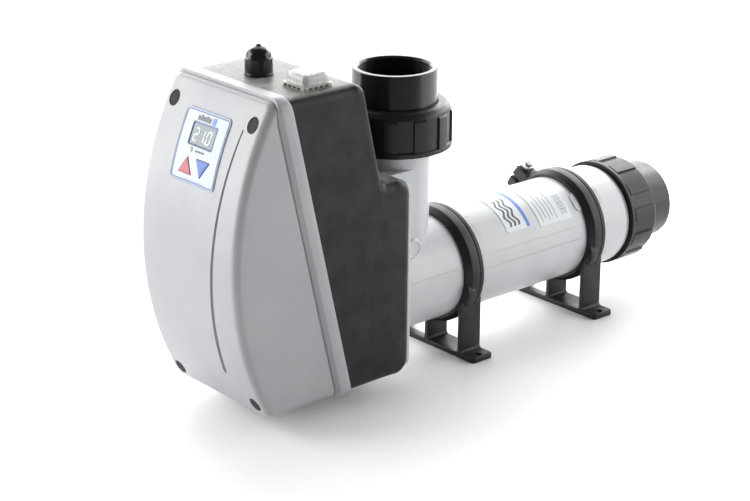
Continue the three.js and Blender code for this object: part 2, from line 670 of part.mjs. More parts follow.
function flowSwitch() {
  const [py, pz] = paddleAt;
  const body = block(-10, 10, -68, discY[0] - 0.3, 40, 58.5);
  const stem = bar('y', [0, pz], 4, -60, py - 6, 16);
  const yoke = block(-9, 9, py - 9, py - 5.5, pz - 3, pz + 3);
  const arms = [-9, 7].map((x) => block(x, x + 2, py - 7, py + 2.5, pz - 3, pz + 3));
  const pin = bar('x', [py, pz], 1.4, -8, 8, 12);
  addNode('flow_switch_body', join([body, stem, yoke, ...arms, pin]), 'blackMatt');
  const hub = bar('x', [py, pz], 3, -6.6, 6.6, 16);
  const blade = block(-6.6, 6.6, py - 0.8, py + 0.8, pz - 13, pz - 1);
  addNode('flow_paddle', hub.add(blade).subtract(bar('x', [py, pz], 1.6, -10, 10, 12)), 'creamPlastic');
}

function electrics() {
  const plate = block(-62.6, 62.6, -72, -70.4, 138, 192);
  addNode('mounting_plate', plate, 'steel');
  const body = block(-50, -6, -112, -72.3, 142, 188);
  const nose = block(-42, -14, -118, -111, 150, 180);
  const slots = [-44, -34, -24, -14].flatMap((x) => [144.5, 185.5].map((z) => bar('y', [x, z], 2, -120, -104, 8)));
  addNode('contactor', cut(body.add(nose), slots), 'creamPlastic');
  const strip = block(4, 52, -92, -72.3, 150, 172);
  const mouths = [10, 19, 28, 37, 46].map((x) => bar('y', [x, 161], 3, -95, -84, 10));
  addNode('terminal_block', cut(strip, mouths), 'blackMatt');
}

function cableGland() {
  const [y, z] = glandAt;
  const w = -boxHalf;
  const outside = bar('x', [y, z], 12.5, w - 6, w - 0.3, 6);
  const nose = bar('x', [y, z], 11, w - 18, w - 5, 24, 11);
  const thread = bar('x', [y, z], 9.8, w - 6, w + wall + 8, 20);
  const bore = bar('x', [y, z], 6.8, w - 30, w + 30, 20);
  const locknut = bar('x', [y, z], 12.5, w + wall + 0.3, w + wall + 5, 6);
  addNode('cable_gland', cut(join([outside, nose, thread, locknut]), [bore]), 'blackMatt');
}

// ---------- assembly ----------
frontCover();
coverGasket();
rearHousing();
coverScrews();
controlLabel();
panelPieces();
rockerSwitch();
resetPieces();
tank();
tubeLabel('brand_panel', 104, 134, 33.5, 97);
tubeLabel('spec_panel', 145, 187, 29.5, 88);
unionParts('top', new THREE.Matrix4().makeTranslation(0, 0, topBase));
unionParts('rear', new THREE.Matrix4().makeBasis(
  new THREE.Vector3(1, 0, 0), new THREE.Vector3(0, 0, -1), new THREE.Vector3(0, 1, 0)).setPosition(0, rearBase, axisZ));
clampFoot('front', footFront[0]);
clampFoot('rear', footFront[1]);
elementFlange();
heatingElements();
flowSwitch();
electrics();
cableGland();

export default group;
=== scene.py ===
# In-line electric pool heater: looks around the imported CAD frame, in metres.
import math
import bmesh
import bpy
import numpy as np
from mathutils import Matrix, Vector


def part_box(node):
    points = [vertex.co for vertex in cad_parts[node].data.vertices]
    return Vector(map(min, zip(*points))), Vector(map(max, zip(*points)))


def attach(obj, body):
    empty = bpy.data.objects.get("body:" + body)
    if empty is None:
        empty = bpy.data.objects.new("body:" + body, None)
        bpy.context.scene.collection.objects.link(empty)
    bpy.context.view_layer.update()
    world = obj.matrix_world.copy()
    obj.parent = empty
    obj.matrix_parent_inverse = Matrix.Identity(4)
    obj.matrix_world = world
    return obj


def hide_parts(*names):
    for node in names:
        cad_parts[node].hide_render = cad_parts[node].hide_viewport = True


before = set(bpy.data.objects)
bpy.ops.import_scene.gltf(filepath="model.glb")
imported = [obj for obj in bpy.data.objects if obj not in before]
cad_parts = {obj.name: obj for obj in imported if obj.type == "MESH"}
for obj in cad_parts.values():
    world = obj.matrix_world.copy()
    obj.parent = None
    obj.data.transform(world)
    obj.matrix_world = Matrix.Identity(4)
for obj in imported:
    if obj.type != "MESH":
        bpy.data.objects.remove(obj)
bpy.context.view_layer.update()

print("frame loaded:", len(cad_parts), "CAD nodes")

# ---------- mesh helpers; lengths in millimetres until a piece is made ----------

def boxOf(node):  # a CAD node's lowest and highest corner in millimetres
    low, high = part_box(node)
    return np.array(low) * 1000, np.array(high) * 1000


def middle(node):
    low, high = boxOf(node)
    return (low + high) / 2


def gridFaces(grid, closeRows=False, closeColumns=True):
    # quads between neighbouring points of a grid; a closed direction joins its last line to its first
    rows, columns = grid.shape[:2]
    index = np.arange(rows * columns).reshape(rows, columns)
    if closeRows:
        index = np.vstack([index, index[:1]])
    if closeColumns:
        index = np.hstack([index, index[:, :1]])
    quads = np.stack([index[:-1, :-1], index[:-1, 1:], index[1:, 1:], index[1:, :-1]], -1)
    return grid.reshape(-1, 3), quads.reshape(-1, 4).tolist()


def capped(grid):
    # rings of points joined by quads, with a flat face over the first and the last ring
    points, faces = gridFaces(grid)
    columns = grid.shape[1]
    last = len(points) - columns
    return points, faces + [list(range(columns)), list(range(last, last + columns))]


def onAxis(across, along, axis, centre):
    # (u, v) across an axis and w along it, as x, y, z around a centre
    u, v = across[..., 0], across[..., 1]
    w = np.broadcast_to(along, u.shape)
    order = {"x": (w, u, v), "y": (u, w, v), "z": (u, v, w)}[axis]
    return np.stack(order, -1) + np.array(centre, float)


def arc(centre, radius, start, end, steps):
    # points at one radius from a centre, between two angles in degrees
    a = np.radians(np.linspace(start, end, steps))
    return np.stack([centre[0] + radius * np.cos(a), centre[1] + radius * np.sin(a)], -1)


def roundedLine(corners, steps=6, closed=True):
    # straight lines between corners [u, v, radius], each corner turned by a circular arc of that radius
    corners = np.array(corners, float)
    count = len(corners)
    out = []
    for i in range(count):
        u = corners[i, :2]
        radius = corners[i, 2]
        if radius <= 0 or (not closed and i in (0, count - 1)):
            out.append(u[None])
            continue
        back = corners[i - 1, :2] - u
        ahead = corners[(i + 1) % count, :2] - u
        back /= np.linalg.norm(back)
        ahead /= np.linalg.norm(ahead)
        half = math.acos(np.clip(back @ ahead, -1, 1)) / 2
        hub = u + (back + ahead) / np.linalg.norm(back + ahead) * radius / math.sin(half)
        first = u + back * radius / math.tan(half) - hub
        last = u + ahead * radius / math.tan(half) - hub
        turn = math.atan2(first[0] * last[1] - first[1] * last[0], first @ last)
        a = math.atan2(first[1], first[0]) + np.linspace(0, turn, steps + 1)
        out.append(hub + radius * np.stack([np.cos(a), np.sin(a)], -1))
    return np.vstack(out)


def roundedBox(low, high, corner, steps=6):
    # a rectangle between two opposite corner points, with round corners
    (x0, z0), (x1, z1) = low, high
    return roundedLine([(x0, z0, corner), (x1, z0, corner), (x1, z1, corner), (x0, z1, corner)], steps)


def circle(centre, radius, count):
    return arc(centre, radius, 0, 360, count + 1)[:-1]


def refined(line, longest, closed=True):
    # the same line with points added along it, so that no step is much longer than the one named
    ahead = np.roll(line, -1, 0) if closed else line[1:]
    out = [line[:1]]
    for a, b in zip(line, ahead):
        steps = max(1, int(np.linalg.norm(b - a) / longest))
        out.append(a + (b - a) * np.linspace(0, 1, steps + 1)[1:, None])
    fine = np.vstack(out)
    return fine[:-1] if closed else fine


def outward(line):
    # unit normals of a closed line, pointing away from its inside
    step = np.roll(line, -1, 0) - np.roll(line, 1, 0)
    step /= np.maximum(np.linalg.norm(step, axis=1, keepdims=True), 1e-9)
    area = np.sum(line[:, 0] * np.roll(line[:, 1], -1) - np.roll(line[:, 0], -1) * line[:, 1])
    return np.stack([step[:, 1], -step[:, 0]], -1) * np.sign(area)


def plate(line, axis, low, high, edge=0.6, centre=(0, 0, 0), steps=3):
    # a flat outline carried along an axis, its rims rounded by a quarter circle
    normals = outward(line)
    a = np.linspace(0, math.pi / 2, steps + 1)
    inset = edge * (1 - np.sin(a))
    rise = edge * (1 - np.cos(a))
    rings = [onAxis(line - normals * i, low + r, axis, centre) for i, r in zip(inset, rise)]
    rings += [onAxis(line - normals * i, high - r, axis, centre) for i, r in zip(inset[::-1], rise[::-1])]
    return capped(np.array(rings))


def turned(profile, axis, centre, segments=96, closed=True):
    # a line of (radius, height) carried round an axis
    profile = np.array(profile, float)[:, :2]
    a = np.linspace(0, 2 * math.pi, segments, endpoint=False)
    across = profile[:, 0, None, None] * np.stack([np.cos(a), np.sin(a)], -1)[None]
    grid = onAxis(across, profile[:, 1, None] * np.ones(segments), axis, centre)
    return gridFaces(grid, closeRows=closed)


def meshOf(name, parts):
    mesh = bpy.data.meshes.new(name)
    points, faces, start = [], [], 0
    for partPoints, partFaces in parts:
        points.append(np.asarray(partPoints, float) / 1000)
        faces += [[i + start for i in face] for face in partFaces]
        start += len(partPoints)
    mesh.from_pydata(np.vstack(points).tolist(), [], faces)
    return mesh


def weld(mesh):
    # doubled points merged, then every face turned outward
    work = bmesh.new()
    work.from_mesh(mesh)
    bmesh.ops.remove_doubles(work, verts=work.verts, dist=2e-6)
    bmesh.ops.dissolve_degenerate(work, edges=work.edges, dist=1e-7)
    bmesh.ops.recalc_face_normals(work, faces=work.faces)
    if work.calc_volume(signed=True) < 0:
        bmesh.ops.reverse_faces(work, faces=work.faces)
    work.to_mesh(mesh)
    work.free()


def bake(piece):  # the modifiers' result becomes the mesh
    bpy.context.view_layer.update()
    graph = bpy.context.evaluated_depsgraph_get()
    result = bpy.data.meshes.new_from_object(piece.evaluated_get(graph))
    piece.modifiers.clear()
    piece.data = result


def shapeOf(name, parts):
    piece = bpy.data.objects.new(name, meshOf(name, parts))
    bpy.context.scene.collection.objects.link(piece)
    weld(piece.data)
    return piece


def combine(piece, other, operation):
    # one shape joined to another or cut by it; the other shape is used up
    modifier = piece.modifiers.new("combine", "BOOLEAN")
    modifier.operation = operation
    modifier.solver = "EXACT"
    modifier.object = other
    bake(piece)
    bpy.data.objects.remove(other)


def carve(piece, parts, operation="DIFFERENCE"):
    combine(piece, shapeOf("tool", parts), operation)


def fused(name, parts):
    # closed parts that overlap, joined one after another into one closed skin
    piece = shapeOf(name, parts[:1])
    for part in parts[1:]:
        carve(piece, [part], "UNION")
    return piece


def finishPiece(piece, finish, slot, body, *nodes, sharp=32):
    piece.data.polygons.foreach_set("use_smooth", np.ones(len(piece.data.polygons), bool))
    piece.data.set_sharp_from_angle(angle=math.radians(sharp))
    piece.data.materials.clear()
    piece.data.materials.append(finish)
    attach(piece, body)
    if nodes:
        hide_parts(*nodes)
    return piece


def makePiece(name, parts, finish, slot, body, *nodes, sharp=32):
    return finishPiece(shapeOf(name, parts), finish, slot, body, *nodes, sharp=sharp)


# ---------- finishes ----------

def linear(hexColour):
    # sRGB hex to linear light: a short straight part, then a power of 2.4
    values = np.array([int(hexColour[i:i + 2], 16) for i in (0, 2, 4)]) / 255
    low = values / 12.92
    high = ((values + 0.055) / 1.055) ** 2.4
    return (*np.where(values <= 0.04045, low, high).tolist(), 1.0)


def setStops(band, stops):
    # a colour ramp's stops: place along it, and a hex colour or a grey level
    while len(band.elements) > len(stops):
        band.elements.remove(band.elements[-1])
    while len(band.elements) < len(stops):
        band.elements.new(1.0)
    for element, (position, colour) in zip(band.elements, stops):
        element.position = position
        element.color = linear(colour) if isinstance(colour, str) else (colour, colour, colour, 1)


def addNode(tree, kind, settings=None, links=None):
    # one node: attributes by their small-letter names, its ramp's stops, its input values, its linked inputs
    node = tree.nodes.new(kind)
    for key, value in (settings or {}).items():
        if key == "stops":
            setStops(node.color_ramp, value)
        elif isinstance(key, str) and key[0].islower():
            setattr(node, key, value)
        else:
            node.inputs[key].default_value = value
    for key, socket in (links or {}).items():
        tree.links.new(socket, node.inputs[key])
    return node


def finishOf(name, look):
    # colour drifts between two tones over broad patches, roughness drifts on its own with the scuffs, and fine
    # grain and coarse waviness are raised as bump; a look may add a pale painted sheen, partly dust, on faces
    # that look up
    material = bpy.data.materials.new(name)
    material.use_nodes = True
    tree = material.node_tree
    shader = tree.nodes["Principled BSDF"]
    place = {"Vector": addNode(tree, "ShaderNodeTexCoord").outputs["Object"]}
    noises = []
    for size, detail, roughness in ((look["patchMm"], 5.0, 0.6), (look["grainMm"], 3.0, 0.6),
                                    (look.get("scuffMm", 14), 8.0, 0.7)):
        settings = {"Scale": 1000 / size, "Detail": detail, "Roughness": roughness}
        noises.append(addNode(tree, "ShaderNodeTexNoise", settings, place).outputs["Fac"])
    patches, grain, scuff = noises
    tones = {"stops": [(0.3, look["dark"]), (0.7, look["light"])]}
    colour = addNode(tree, "ShaderNodeValToRGB", tones, {"Fac": patches}).outputs["Color"]
    low, high = look["roughness"]
    span = {"From Min": 0.35, "From Max": 0.7, "To Min": low, "To Max": high}
    rough = addNode(tree, "ShaderNodeMapRange", span, {"Value": scuff})
    if "paintedSheenAndDust" in look:  # painted sheen, partly dust: a pale tone on faces that look up, mottled by the scuffs, standing in for the bright reflection on the tops
        strength, tint = look["paintedSheenAndDust"]
        facing = addNode(tree, "ShaderNodeNewGeometry").outputs["Normal"]
        upward = addNode(tree, "ShaderNodeSeparateXYZ", {}, {"Vector": facing}).outputs["Z"]
        stops = [(0.75, 0.0), (0.98, strength)]
        level = addNode(tree, "ShaderNodeValToRGB", {"stops": stops}, {"Fac": upward})
        stops = [(0.3, 0.25), (0.65, 1.0)]
        sheenMottle = addNode(tree, "ShaderNodeValToRGB", {"stops": stops}, {"Fac": scuff})
        paintedSheenAndDust = addNode(tree, "ShaderNodeMath", {"operation": "MULTIPLY"},
                       {0: level.outputs["Color"], 1: sheenMottle.outputs["Color"]}).outputs["Value"]
        colour = addNode(tree, "ShaderNodeMix", {"data_type": "RGBA", 7: linear(tint)},
                         {"Factor": paintedSheenAndDust, 6: colour}).outputs[2]
    if "fleck" in look:  # lighter resin specks
        strength, tint = look["fleck"]
        stops = [(0.55, 0.0), (0.75, strength)]
        specks = addNode(tree, "ShaderNodeValToRGB", {"stops": stops}, {"Fac": grain})
        colour = addNode(tree, "ShaderNodeMix", {"data_type": "RGBA", 7: linear(tint)},
                         {"Factor": specks.outputs["Color"], 6: colour}).outputs[2]
    tree.links.new(colour, shader.inputs["Base Color"])
    tree.links.new(rough.outputs["Result"], shader.inputs["Roughness"])
    fine = addNode(tree, "ShaderNodeBump", {"Strength": 1.0, "Distance": look["grainDepth"] / 1000},
                   {"Height": grain})
    wave = addNode(tree, "ShaderNodeBump", {"Strength": 1.0, "Distance": look.get("waveDepth", 0.0) / 1000},
                   {"Height": patches, "Normal": fine.outputs["Normal"]})
    tree.links.new(wave.outputs["Normal"], shader.inputs["Normal"])
    for key, value in look.get("shader", {}).items():
        shader.inputs[key].default_value = value
    material.diffuse_color = linear(look["light"])
    return material


looks = {
    # moulded ABS: even satin skin with a fine spark-eroded grain
    "mouldedGreyAbs": {"dark": "9fa0a4", "light": "a8a9ac", "patchMm": 60, "grainMm": 0.9,
                       "grainDepth": 0.012, "roughness": (0.36, 0.44), "scuffMm": 25,
                       "shader": {"IOR": 1.52}},
    # glass-filled polypropylene: charcoal, faintly mottled by the filler, satin; a strong pale painted sheen,
    # partly dust, lies on its upward faces
    "charcoalPolypropylene": {"dark": "0f0d0e", "light": "2a2829", "patchMm": 22, "grainMm": 1.1,
                              "grainDepth": 0.014, "roughness": (0.34, 0.5), "scuffMm": 13,
                              "waveDepth": 0.0, "fleck": (0.22, "2a2829"), "paintedSheenAndDust": (0.8, "a9a8a6"),
                              "shader": {"IOR": 1.5, "Specular IOR Level": 0.22}},
    # extruded and welded PVC-U pipe: bright, slightly waxy
    "whitePipePvc": {"dark": "b9bbbe", "light": "c3c5c8", "patchMm": 45, "grainMm": 1.4,
                     "grainDepth": 0.012, "roughness": (0.28, 0.4), "scuffMm": 18, "waveDepth": 0.1,
                     "shader": {"IOR": 1.53}},
    # moulded PVC-U union nut: satin black with soft reflections; a faint pale painted sheen, partly dust, on
    # its upward faces
    "satinBlackPvc": {"dark": "0f0d0e", "light": "191718", "patchMm": 22, "grainMm": 0.8,
                      "grainDepth": 0.015, "roughness": (0.3, 0.44), "scuffMm": 7,
                      "paintedSheenAndDust": (0.1, "6d6c6b"), "shader": {"IOR": 1.53, "Specular IOR Level": 0.34}},
    # turned PVC-U socket: glossy black
    "glossBlackPvc": {"dark": "0f0e0f", "light": "171617", "patchMm": 30, "grainMm": 0.7,
                      "grainDepth": 0.006, "roughness": (0.14, 0.26), "scuffMm": 12,
                      "shader": {"IOR": 1.53, "Specular IOR Level": 0.42}},
    # glass-filled nylon clamp: matt black, slightly brown where light grazes it; a faint pale painted sheen,
    # partly dust, on its upward faces
    "mattBlackNylon": {"dark": "110f0f", "light": "1c1919", "patchMm": 16, "grainMm": 0.8,
                       "grainDepth": 0.02, "roughness": (0.36, 0.52), "scuffMm": 6,
                       "paintedSheenAndDust": (0.12, "6d6b69"), "shader": {"IOR": 1.53, "Specular IOR Level": 0.3}},
    # EPDM rubber: dead matt
    "epdmRubber": {"dark": "161616", "light": "1e1e1e", "patchMm": 12, "grainMm": 0.6, "grainDepth": 0.02,
                   "roughness": (0.7, 0.85), "shader": {"IOR": 1.5}},
    # printed polyester film: smooth and slightly blue
    "labelFilm": {"dark": "a3aebd", "light": "aeb8c6", "patchMm": 40, "grainMm": 0.8, "grainDepth": 0.003,
                  "roughness": (0.22, 0.3), "shader": {"IOR": 1.57}},
    # coated paper label: even and softly glossy
    "paperLabel": {"dark": "d6dadd", "light": "e0e3e6", "patchMm": 30, "grainMm": 0.5,
                   "grainDepth": 0.004, "roughness": (0.3, 0.42), "shader": {"IOR": 1.5}},
    # screen-printed inks: flat and thin, a little duller than the film they lie on
    "printBlue": {"dark": "2c4a7c", "light": "355690", "patchMm": 20, "grainMm": 0.6, "grainDepth": 0.002,
                  "roughness": (0.3, 0.4), "shader": {"IOR": 1.5}},
    "printBrightBlue": {"dark": "3d6fc4", "light": "5b88d4", "patchMm": 25, "grainMm": 0.6,
                        "grainDepth": 0.002, "roughness": (0.3, 0.4), "shader": {"IOR": 1.5}},
    "printDark": {"dark": "33363c", "light": "454950", "patchMm": 20, "grainMm": 0.6, "grainDepth": 0.002,
                  "roughness": (0.3, 0.42), "shader": {"IOR": 1.5}},
    "printGrey": {"dark": "8d949c", "light": "a2a8ae", "patchMm": 20, "grainMm": 0.6, "grainDepth": 0.002,
                  "roughness": (0.3, 0.42), "shader": {"IOR": 1.5}},
    # moulded rubber keys: even colour with soft highlights
    "keyRed": {"dark": "a03440", "light": "b0444f", "patchMm": 10, "grainMm": 0.6, "grainDepth": 0.006,
               "roughness": (0.3, 0.4), "shader": {"IOR": 1.5}},
    "keyBlue": {"dark": "2353a2", "light": "3162b4", "patchMm": 10, "grainMm": 0.6, "grainDepth": 0.006,
                "roughness": (0.3, 0.4), "shader": {"IOR": 1.5}},
    # liquid-crystal glass: grey-green, glossy
    "lcdGlass": {"dark": "55656d", "light": "67767d", "patchMm": 14, "grainMm": 1.0, "grainDepth": 0.001,
                 "roughness": (0.1, 0.16), "shader": {"IOR": 1.52}},
    # the display's figures: pale and even
    "lcdDigit": {"dark": "e4ecd9", "light": "eef4e2", "patchMm": 8, "grainMm": 0.6, "grainDepth": 0.001,
                 "roughness": (0.25, 0.35), "shader": {"IOR": 1.5}},
    # acrylic lamp dome: pale amber, glossy
    "lampAmber": {"dark": "c3b7a2", "light": "d3c8b4", "patchMm": 4, "grainMm": 0.5, "grainDepth": 0.002,
                  "roughness": (0.15, 0.25), "shader": {"IOR": 1.49}},
    # clear silicone boot: milky, soft highlights
    "clearSilicone": {"dark": "d9dbda", "light": "e6e7e6", "patchMm": 9, "grainMm": 0.8,
                      "grainDepth": 0.01, "roughness": (0.16, 0.3), "scuffMm": 5,
                      "shader": {"IOR": 1.41, "Transmission Weight": 0.55, "Subsurface Weight": 0.1}},
    # aged polycarbonate bezel under the boot
    "clearPolycarbonate": {"dark": "cfc8ba", "light": "e9e4d8", "patchMm": 5, "grainMm": 0.7,
                           "grainDepth": 0.004, "roughness": (0.1, 0.25), "scuffMm": 4,
                           "shader": {"IOR": 1.58, "Transmission Weight": 0.35}},
    # zinc-plated steel: bright, faintly bluish, worn along the flats
    "zincSteel": {"dark": "b4b6b8", "light": "d8dadc", "patchMm": 5, "grainMm": 0.5, "grainDepth": 0.01,
                  "roughness": (0.18, 0.34), "scuffMm": 3, "shader": {"Metallic": 1.0}},
    # titanium tube: warm grey metal, drawn
    "drawnTitanium": {"dark": "847f79", "light": "98938c", "patchMm": 20, "grainMm": 0.6,
                      "grainDepth": 0.01, "roughness": (0.3, 0.45), "scuffMm": 8,
                      "shader": {"Metallic": 1.0}},
    # solder mask on a circuit board: even green, satin
    "greenSolderMask": {"dark": "1b4d36", "light": "235f43", "patchMm": 15, "grainMm": 0.8,
                        "grainDepth": 0.01, "roughness": (0.3, 0.45), "shader": {"IOR": 1.55}},
    # moulded polyester: cream, nearly matt
    "creamPolyester": {"dark": "cfc9b9", "light": "dcd7c9", "patchMm": 18, "grainMm": 0.7,
                       "grainDepth": 0.012, "roughness": (0.42, 0.55), "shader": {"IOR": 1.55}},
}
finishes = {name: finishOf(name, look) for name, look in looks.items()}
print("finishes:", len(finishes))

# ---------- front cover ----------

coverSize = {"half": 65.5, "faceRadius": 260.0, "faceHeight": 146.0, "edge": 7.0, "corner": 9.0, "wall": 3.0,
             "lean": 0.238, "foot": 16.5, "top": 285.5}
coverLow, coverHigh = boxOf("front_cover")


def faceY(z, lift=0.0):
    # the face's arc seen from the side: a circle whose foremost point lies at the cover's front
    radius = coverSize["faceRadius"] + lift
    hub = coverLow[1] + coverSize["faceRadius"]
    return hub - np.sqrt(radius ** 2 - (np.asarray(z) - coverSize["faceHeight"]) ** 2)


def partingY(z):  # back of the cover's rim, a plane that leans forward towards the top
    return coverHigh[1] - coverSize["lean"] * (np.asarray(z) - coverLow[2])


def rectangle(half, low, high, corner, longSteps=26, shortSteps=10, arcSteps=9):
    # points and outward normals round an upright rectangle with round corners, the same count on each side
    up = np.linspace(0, 1, longSteps, endpoint=False)[:, None]
    side = np.linspace(0, 1, shortSteps, endpoint=False)[:, None]
    turn = np.linspace(0, 90, arcSteps, endpoint=False)
    points, normals = [], []
    corners = [(half - corner, high - corner), (corner - half, high - corner),
               (corner - half, low + corner), (half - corner, low + corner)]
    for k, hub in enumerate(corners):
        before = corners[k - 1]
        n = np.array([math.cos(math.radians(90 * k)), math.sin(math.radians(90 * k))])
        steps = side if k % 2 else up
        start = np.array(before) + n * corner
        end = np.array(hub) + n * corner
        points.append(start + (end - start) * steps)
        normals.append(np.repeat(n[None], len(steps), 0))
        a = np.radians(90 * k + turn)
        ring = np.stack([np.cos(a), np.sin(a)], -1)
        points.append(np.array(hub) + ring * corner)
        normals.append(ring)
    return np.vstack(points), np.vstack(normals)


def coverOutline(inset):
    # the cover seen from the front, its wall drawn in by an inset and its foot raised with it
    size = coverSize
    foot = size["foot"] + inset * (1 if inset > 0 else 0.8)
    return rectangle(size["half"] - inset, foot, size["top"] - inset, max(size["corner"] - inset, 1.0))


def faceAndEdge(radius, lift):
    # rings from the middle of the face to its rim, then round the edge, as a ball rolled along it would
    line, normals = coverOutline(coverSize["edge"])
    hubRadius = coverSize["faceRadius"] - coverSize["edge"]
    tilt = np.arcsin((line[:, 1] - coverSize["faceHeight"]) / hubRadius)
    hub = np.stack([line[:, 0], faceY(line[:, 1], -coverSize["edge"]), line[:, 1]], -1)
    ahead = np.stack([np.zeros_like(tilt), -np.cos(tilt), np.sin(tilt)], -1)
    wallward = np.stack([normals[:, 0], np.zeros_like(tilt), normals[:, 1]], -1)
    wallward /= np.linalg.norm(wallward, axis=1, keepdims=True)
    angle = np.arccos(np.clip(np.sum(ahead * wallward, 1), -1, 1))[:, None]
    rings = []
    rim = hub + radius * ahead
    for share in np.linspace(0, 1, 22)[:-1]:
        x = rim[:, 0] * share
        z = coverSize["faceHeight"] + (rim[:, 2] - coverSize["faceHeight"]) * share
        rings.append(np.stack([x, faceY(z, lift), z], -1))
    for share in np.linspace(0, 1, 9):
        swing = (np.sin((1 - share) * angle) * ahead + np.sin(share * angle) * wallward) / np.sin(angle)
        rings.append(hub + radius * swing)
    return rings


def coverRing(inset, back, ahead=None):
    # the outline at one inset, a distance ahead of the parting plane, never ahead of the ring before it
    line, _ = coverOutline(inset)
    y = partingY(line[:, 1]) + back
    if ahead is not None:
        y = np.maximum(y, ahead)
    return np.stack([line[:, 0], y, line[:, 1]], -1)


# inset from the cover's wall and distance ahead of the parting plane, from the rim's groove to the inside
rimSection = [(0, -20), (0, -16.8), (0.25, -16.4), (1.3, -16.2), (1.3, -15.2), (0.3, -15.0), (-0.1, -14.8),
              (-0.5, -14.3), (-2.5, -11.9), (-2.9, -11.3), (-3, -10.6), (-3, -5), (-3, -1.0), (-2.8, -0.4),
              (-2.3, -0.05), (-1.2, 0), (-0.9, -0.1), (-0.9, -6.4), (2.9, -6.5), (3, -12)]
rimSteps = 16  # the sections that lie outside, in order from the front
outer = faceAndEdge(coverSize["edge"], 0.0)
inner = faceAndEdge(coverSize["edge"] - coverSize["wall"], -coverSize["wall"])
rings = list(outer)
for inset, back in rimSection[:rimSteps]:
    rings.append(coverRing(inset, back, rings[-1][:, 1] + 0.04))
rings += [coverRing(inset, back) for inset, back in rimSection[rimSteps:]] + inner[::-1]
cover = shapeOf("cover_shell", [gridFaces(np.array(rings))])

grooveSize = {"low": 50.5, "high": 262.0, "foot": 26.3, "run": 16.5, "thin": 0.8, "wide": 2.3, "depth": 2.6,
              "steep": 2.4, "roundEnd": 3.0, "flare": 0.8}


def facePoints(x, z, lift):
    # points of the flat drawing (x, z) laid on the face, lifted off it
    return np.stack([x, faceY(z, lift), z + 0 * x], -1)


def faceRing(line, centre, share, lift):
    # an outline (x, z) drawn in towards a centre by a share and laid on the face at one lift
    flat = centre + (line - centre) * share
    return facePoints(flat[:, 0], flat[:, 1], lift)


def grooveTool():
    # a channel whose half width grows towards the foot as a power of the length still to run, and closes there
    # in a round end; its depth follows its width up to a limit
    size = grooveSize
    share = np.linspace(0, 1, 60)
    z = size["low"] + (size["high"] - size["low"]) * share
    x = size["foot"] + size["run"] * share
    half = size["thin"] + (size["wide"] - size["thin"]) * (1 - share) ** size["flare"]
    nearEnd = ((size["low"] + size["roundEnd"] - z) / size["roundEnd"]).clip(0, 1)
    half = half * np.sqrt(np.clip(1 - nearEnd ** 2, 0.02, 1))
    deep = np.minimum(size["depth"], half * size["steep"])
    columns = []
    for u, v in ((-1, 3), (-1, -0.7), (-0.8, -0.95), (0, -1), (0.8, -0.95), (1, -0.7), (1, 3)):
        lift = np.full_like(z, v) if v > 0 else v * deep  # millimetres off the face, or a share of its depth
        columns.append(facePoints(x + half * u, z, lift))
    return capped(np.stack(columns, 1))


def faceTool(outline, out, into):
    # an outline (x, z) made a straight prism through the face
    ring = np.array(outline, float)
    near = np.stack([ring[:, 0], faceY(ring[:, 1]) - out, ring[:, 1]], -1)
    far = np.stack([ring[:, 0], faceY(ring[:, 1]) + into, ring[:, 1]], -1)
    return capped(np.array([near, far]))


cornerNames = ["top_left", "top_right", "bottom_left", "bottom_right"]
plugSize = {"hole": 6.3, "depth": 4.2, "sides": 48}
plugs = {name: middle("screw_plug_" + name)[[0, 2]] for name in cornerNames}
plugTools = [faceTool(circle(centre, plugSize["hole"], 40), 3, plugSize["depth"])
             for centre in plugs.values()]
lensLow, lensHigh = (corner[[0, 2]] for corner in boxOf("display_lens"))
lensWindow = roundedBox(lensLow - 0.3, lensHigh + 0.3, 1.2)

keySize = {"upBase": 216.9, "upTip": 230.1, "downBase": 230.3, "downTip": 216.7, "corner": 0.5,
           "clear": 0.35}


def keyOutline(node, pointsUp, grow):
    # a triangle with round corners that points up or down, grown by the same distance on all three sides
    low, high = boxOf(node)
    mid = (low[0] + high[0]) / 2
    wide = (high[0] - low[0]) / 2 + 1.4 * grow
    base, tip = keySize["downBase"] + grow, keySize["downTip"] - 2 * grow
    if pointsUp:
        base, tip = keySize["upBase"] - grow, keySize["upTip"] + 2 * grow
    corner = keySize["corner"]
    return roundedLine([(mid - wide, base, corner), (mid + wide, base, corner), (mid, tip, corner)], 4)


keys = {"up_button": (True, "keyRed", "red_key", "up_key"),
        "down_button": (False, "keyBlue", "blue_key", "down_key")}
keyTools = [faceTool(keyOutline(node, facts[0], keySize["clear"]), 3, 8) for node, facts in keys.items()]
lampAt = middle("status_lamp")[[0, 2]] + np.array([0, 1.5])
lampTool = faceTool(circle(lampAt, 1.9, 24), 3, 8)
carve(cover, [grooveTool(), *plugTools, faceTool(lensWindow, 3, 8), *keyTools, lampTool])
finishPiece(cover, finishes["mouldedGreyAbs"], "light_shell", "base", "front_cover", sharp=38)
print("cover:", len(cover.data.polygons), "faces")

# ---------- control panel ----------

labelLow, labelHigh = (corner[[0, 2]] for corner in boxOf("control_label"))
labelSize = {"half": (labelHigh[0] - labelLow[0]) / 2, "middle": (labelLow[0] + labelHigh[0]) / 2,
             "foot": labelLow[1], "top": labelHigh[1], "corner": 4.0, "under": 0.15, "face": 0.6}
printLift = {"low": 0.3, "high": 0.78}


def faceSheet(outline, low, high):
    # an outline (x, z) laid on the face's arc as a thin sheet between two lifts
    return capped(np.array([facePoints(outline[:, 0], outline[:, 1], lift) for lift in (low, high)]))


def faceBand(outer, inner, low, high):
    # a closed band between two outlines, laid on the face as a thin sheet
    sides = ((outer, low), (outer, high), (inner, high), (inner, low))
    grid = np.array([facePoints(line[:, 0], line[:, 1], lift) for line, lift in sides])
    return gridFaces(grid, closeRows=True)


def frameLine(inset, corner):
    # the label's outline drawn in by an inset, with a point every few millimetres
    size = labelSize
    line, _ = rectangle(size["half"] - inset, size["foot"] + inset, size["top"] - inset, corner, 16, 6, 6)
    return line + np.array([size["middle"], 0])


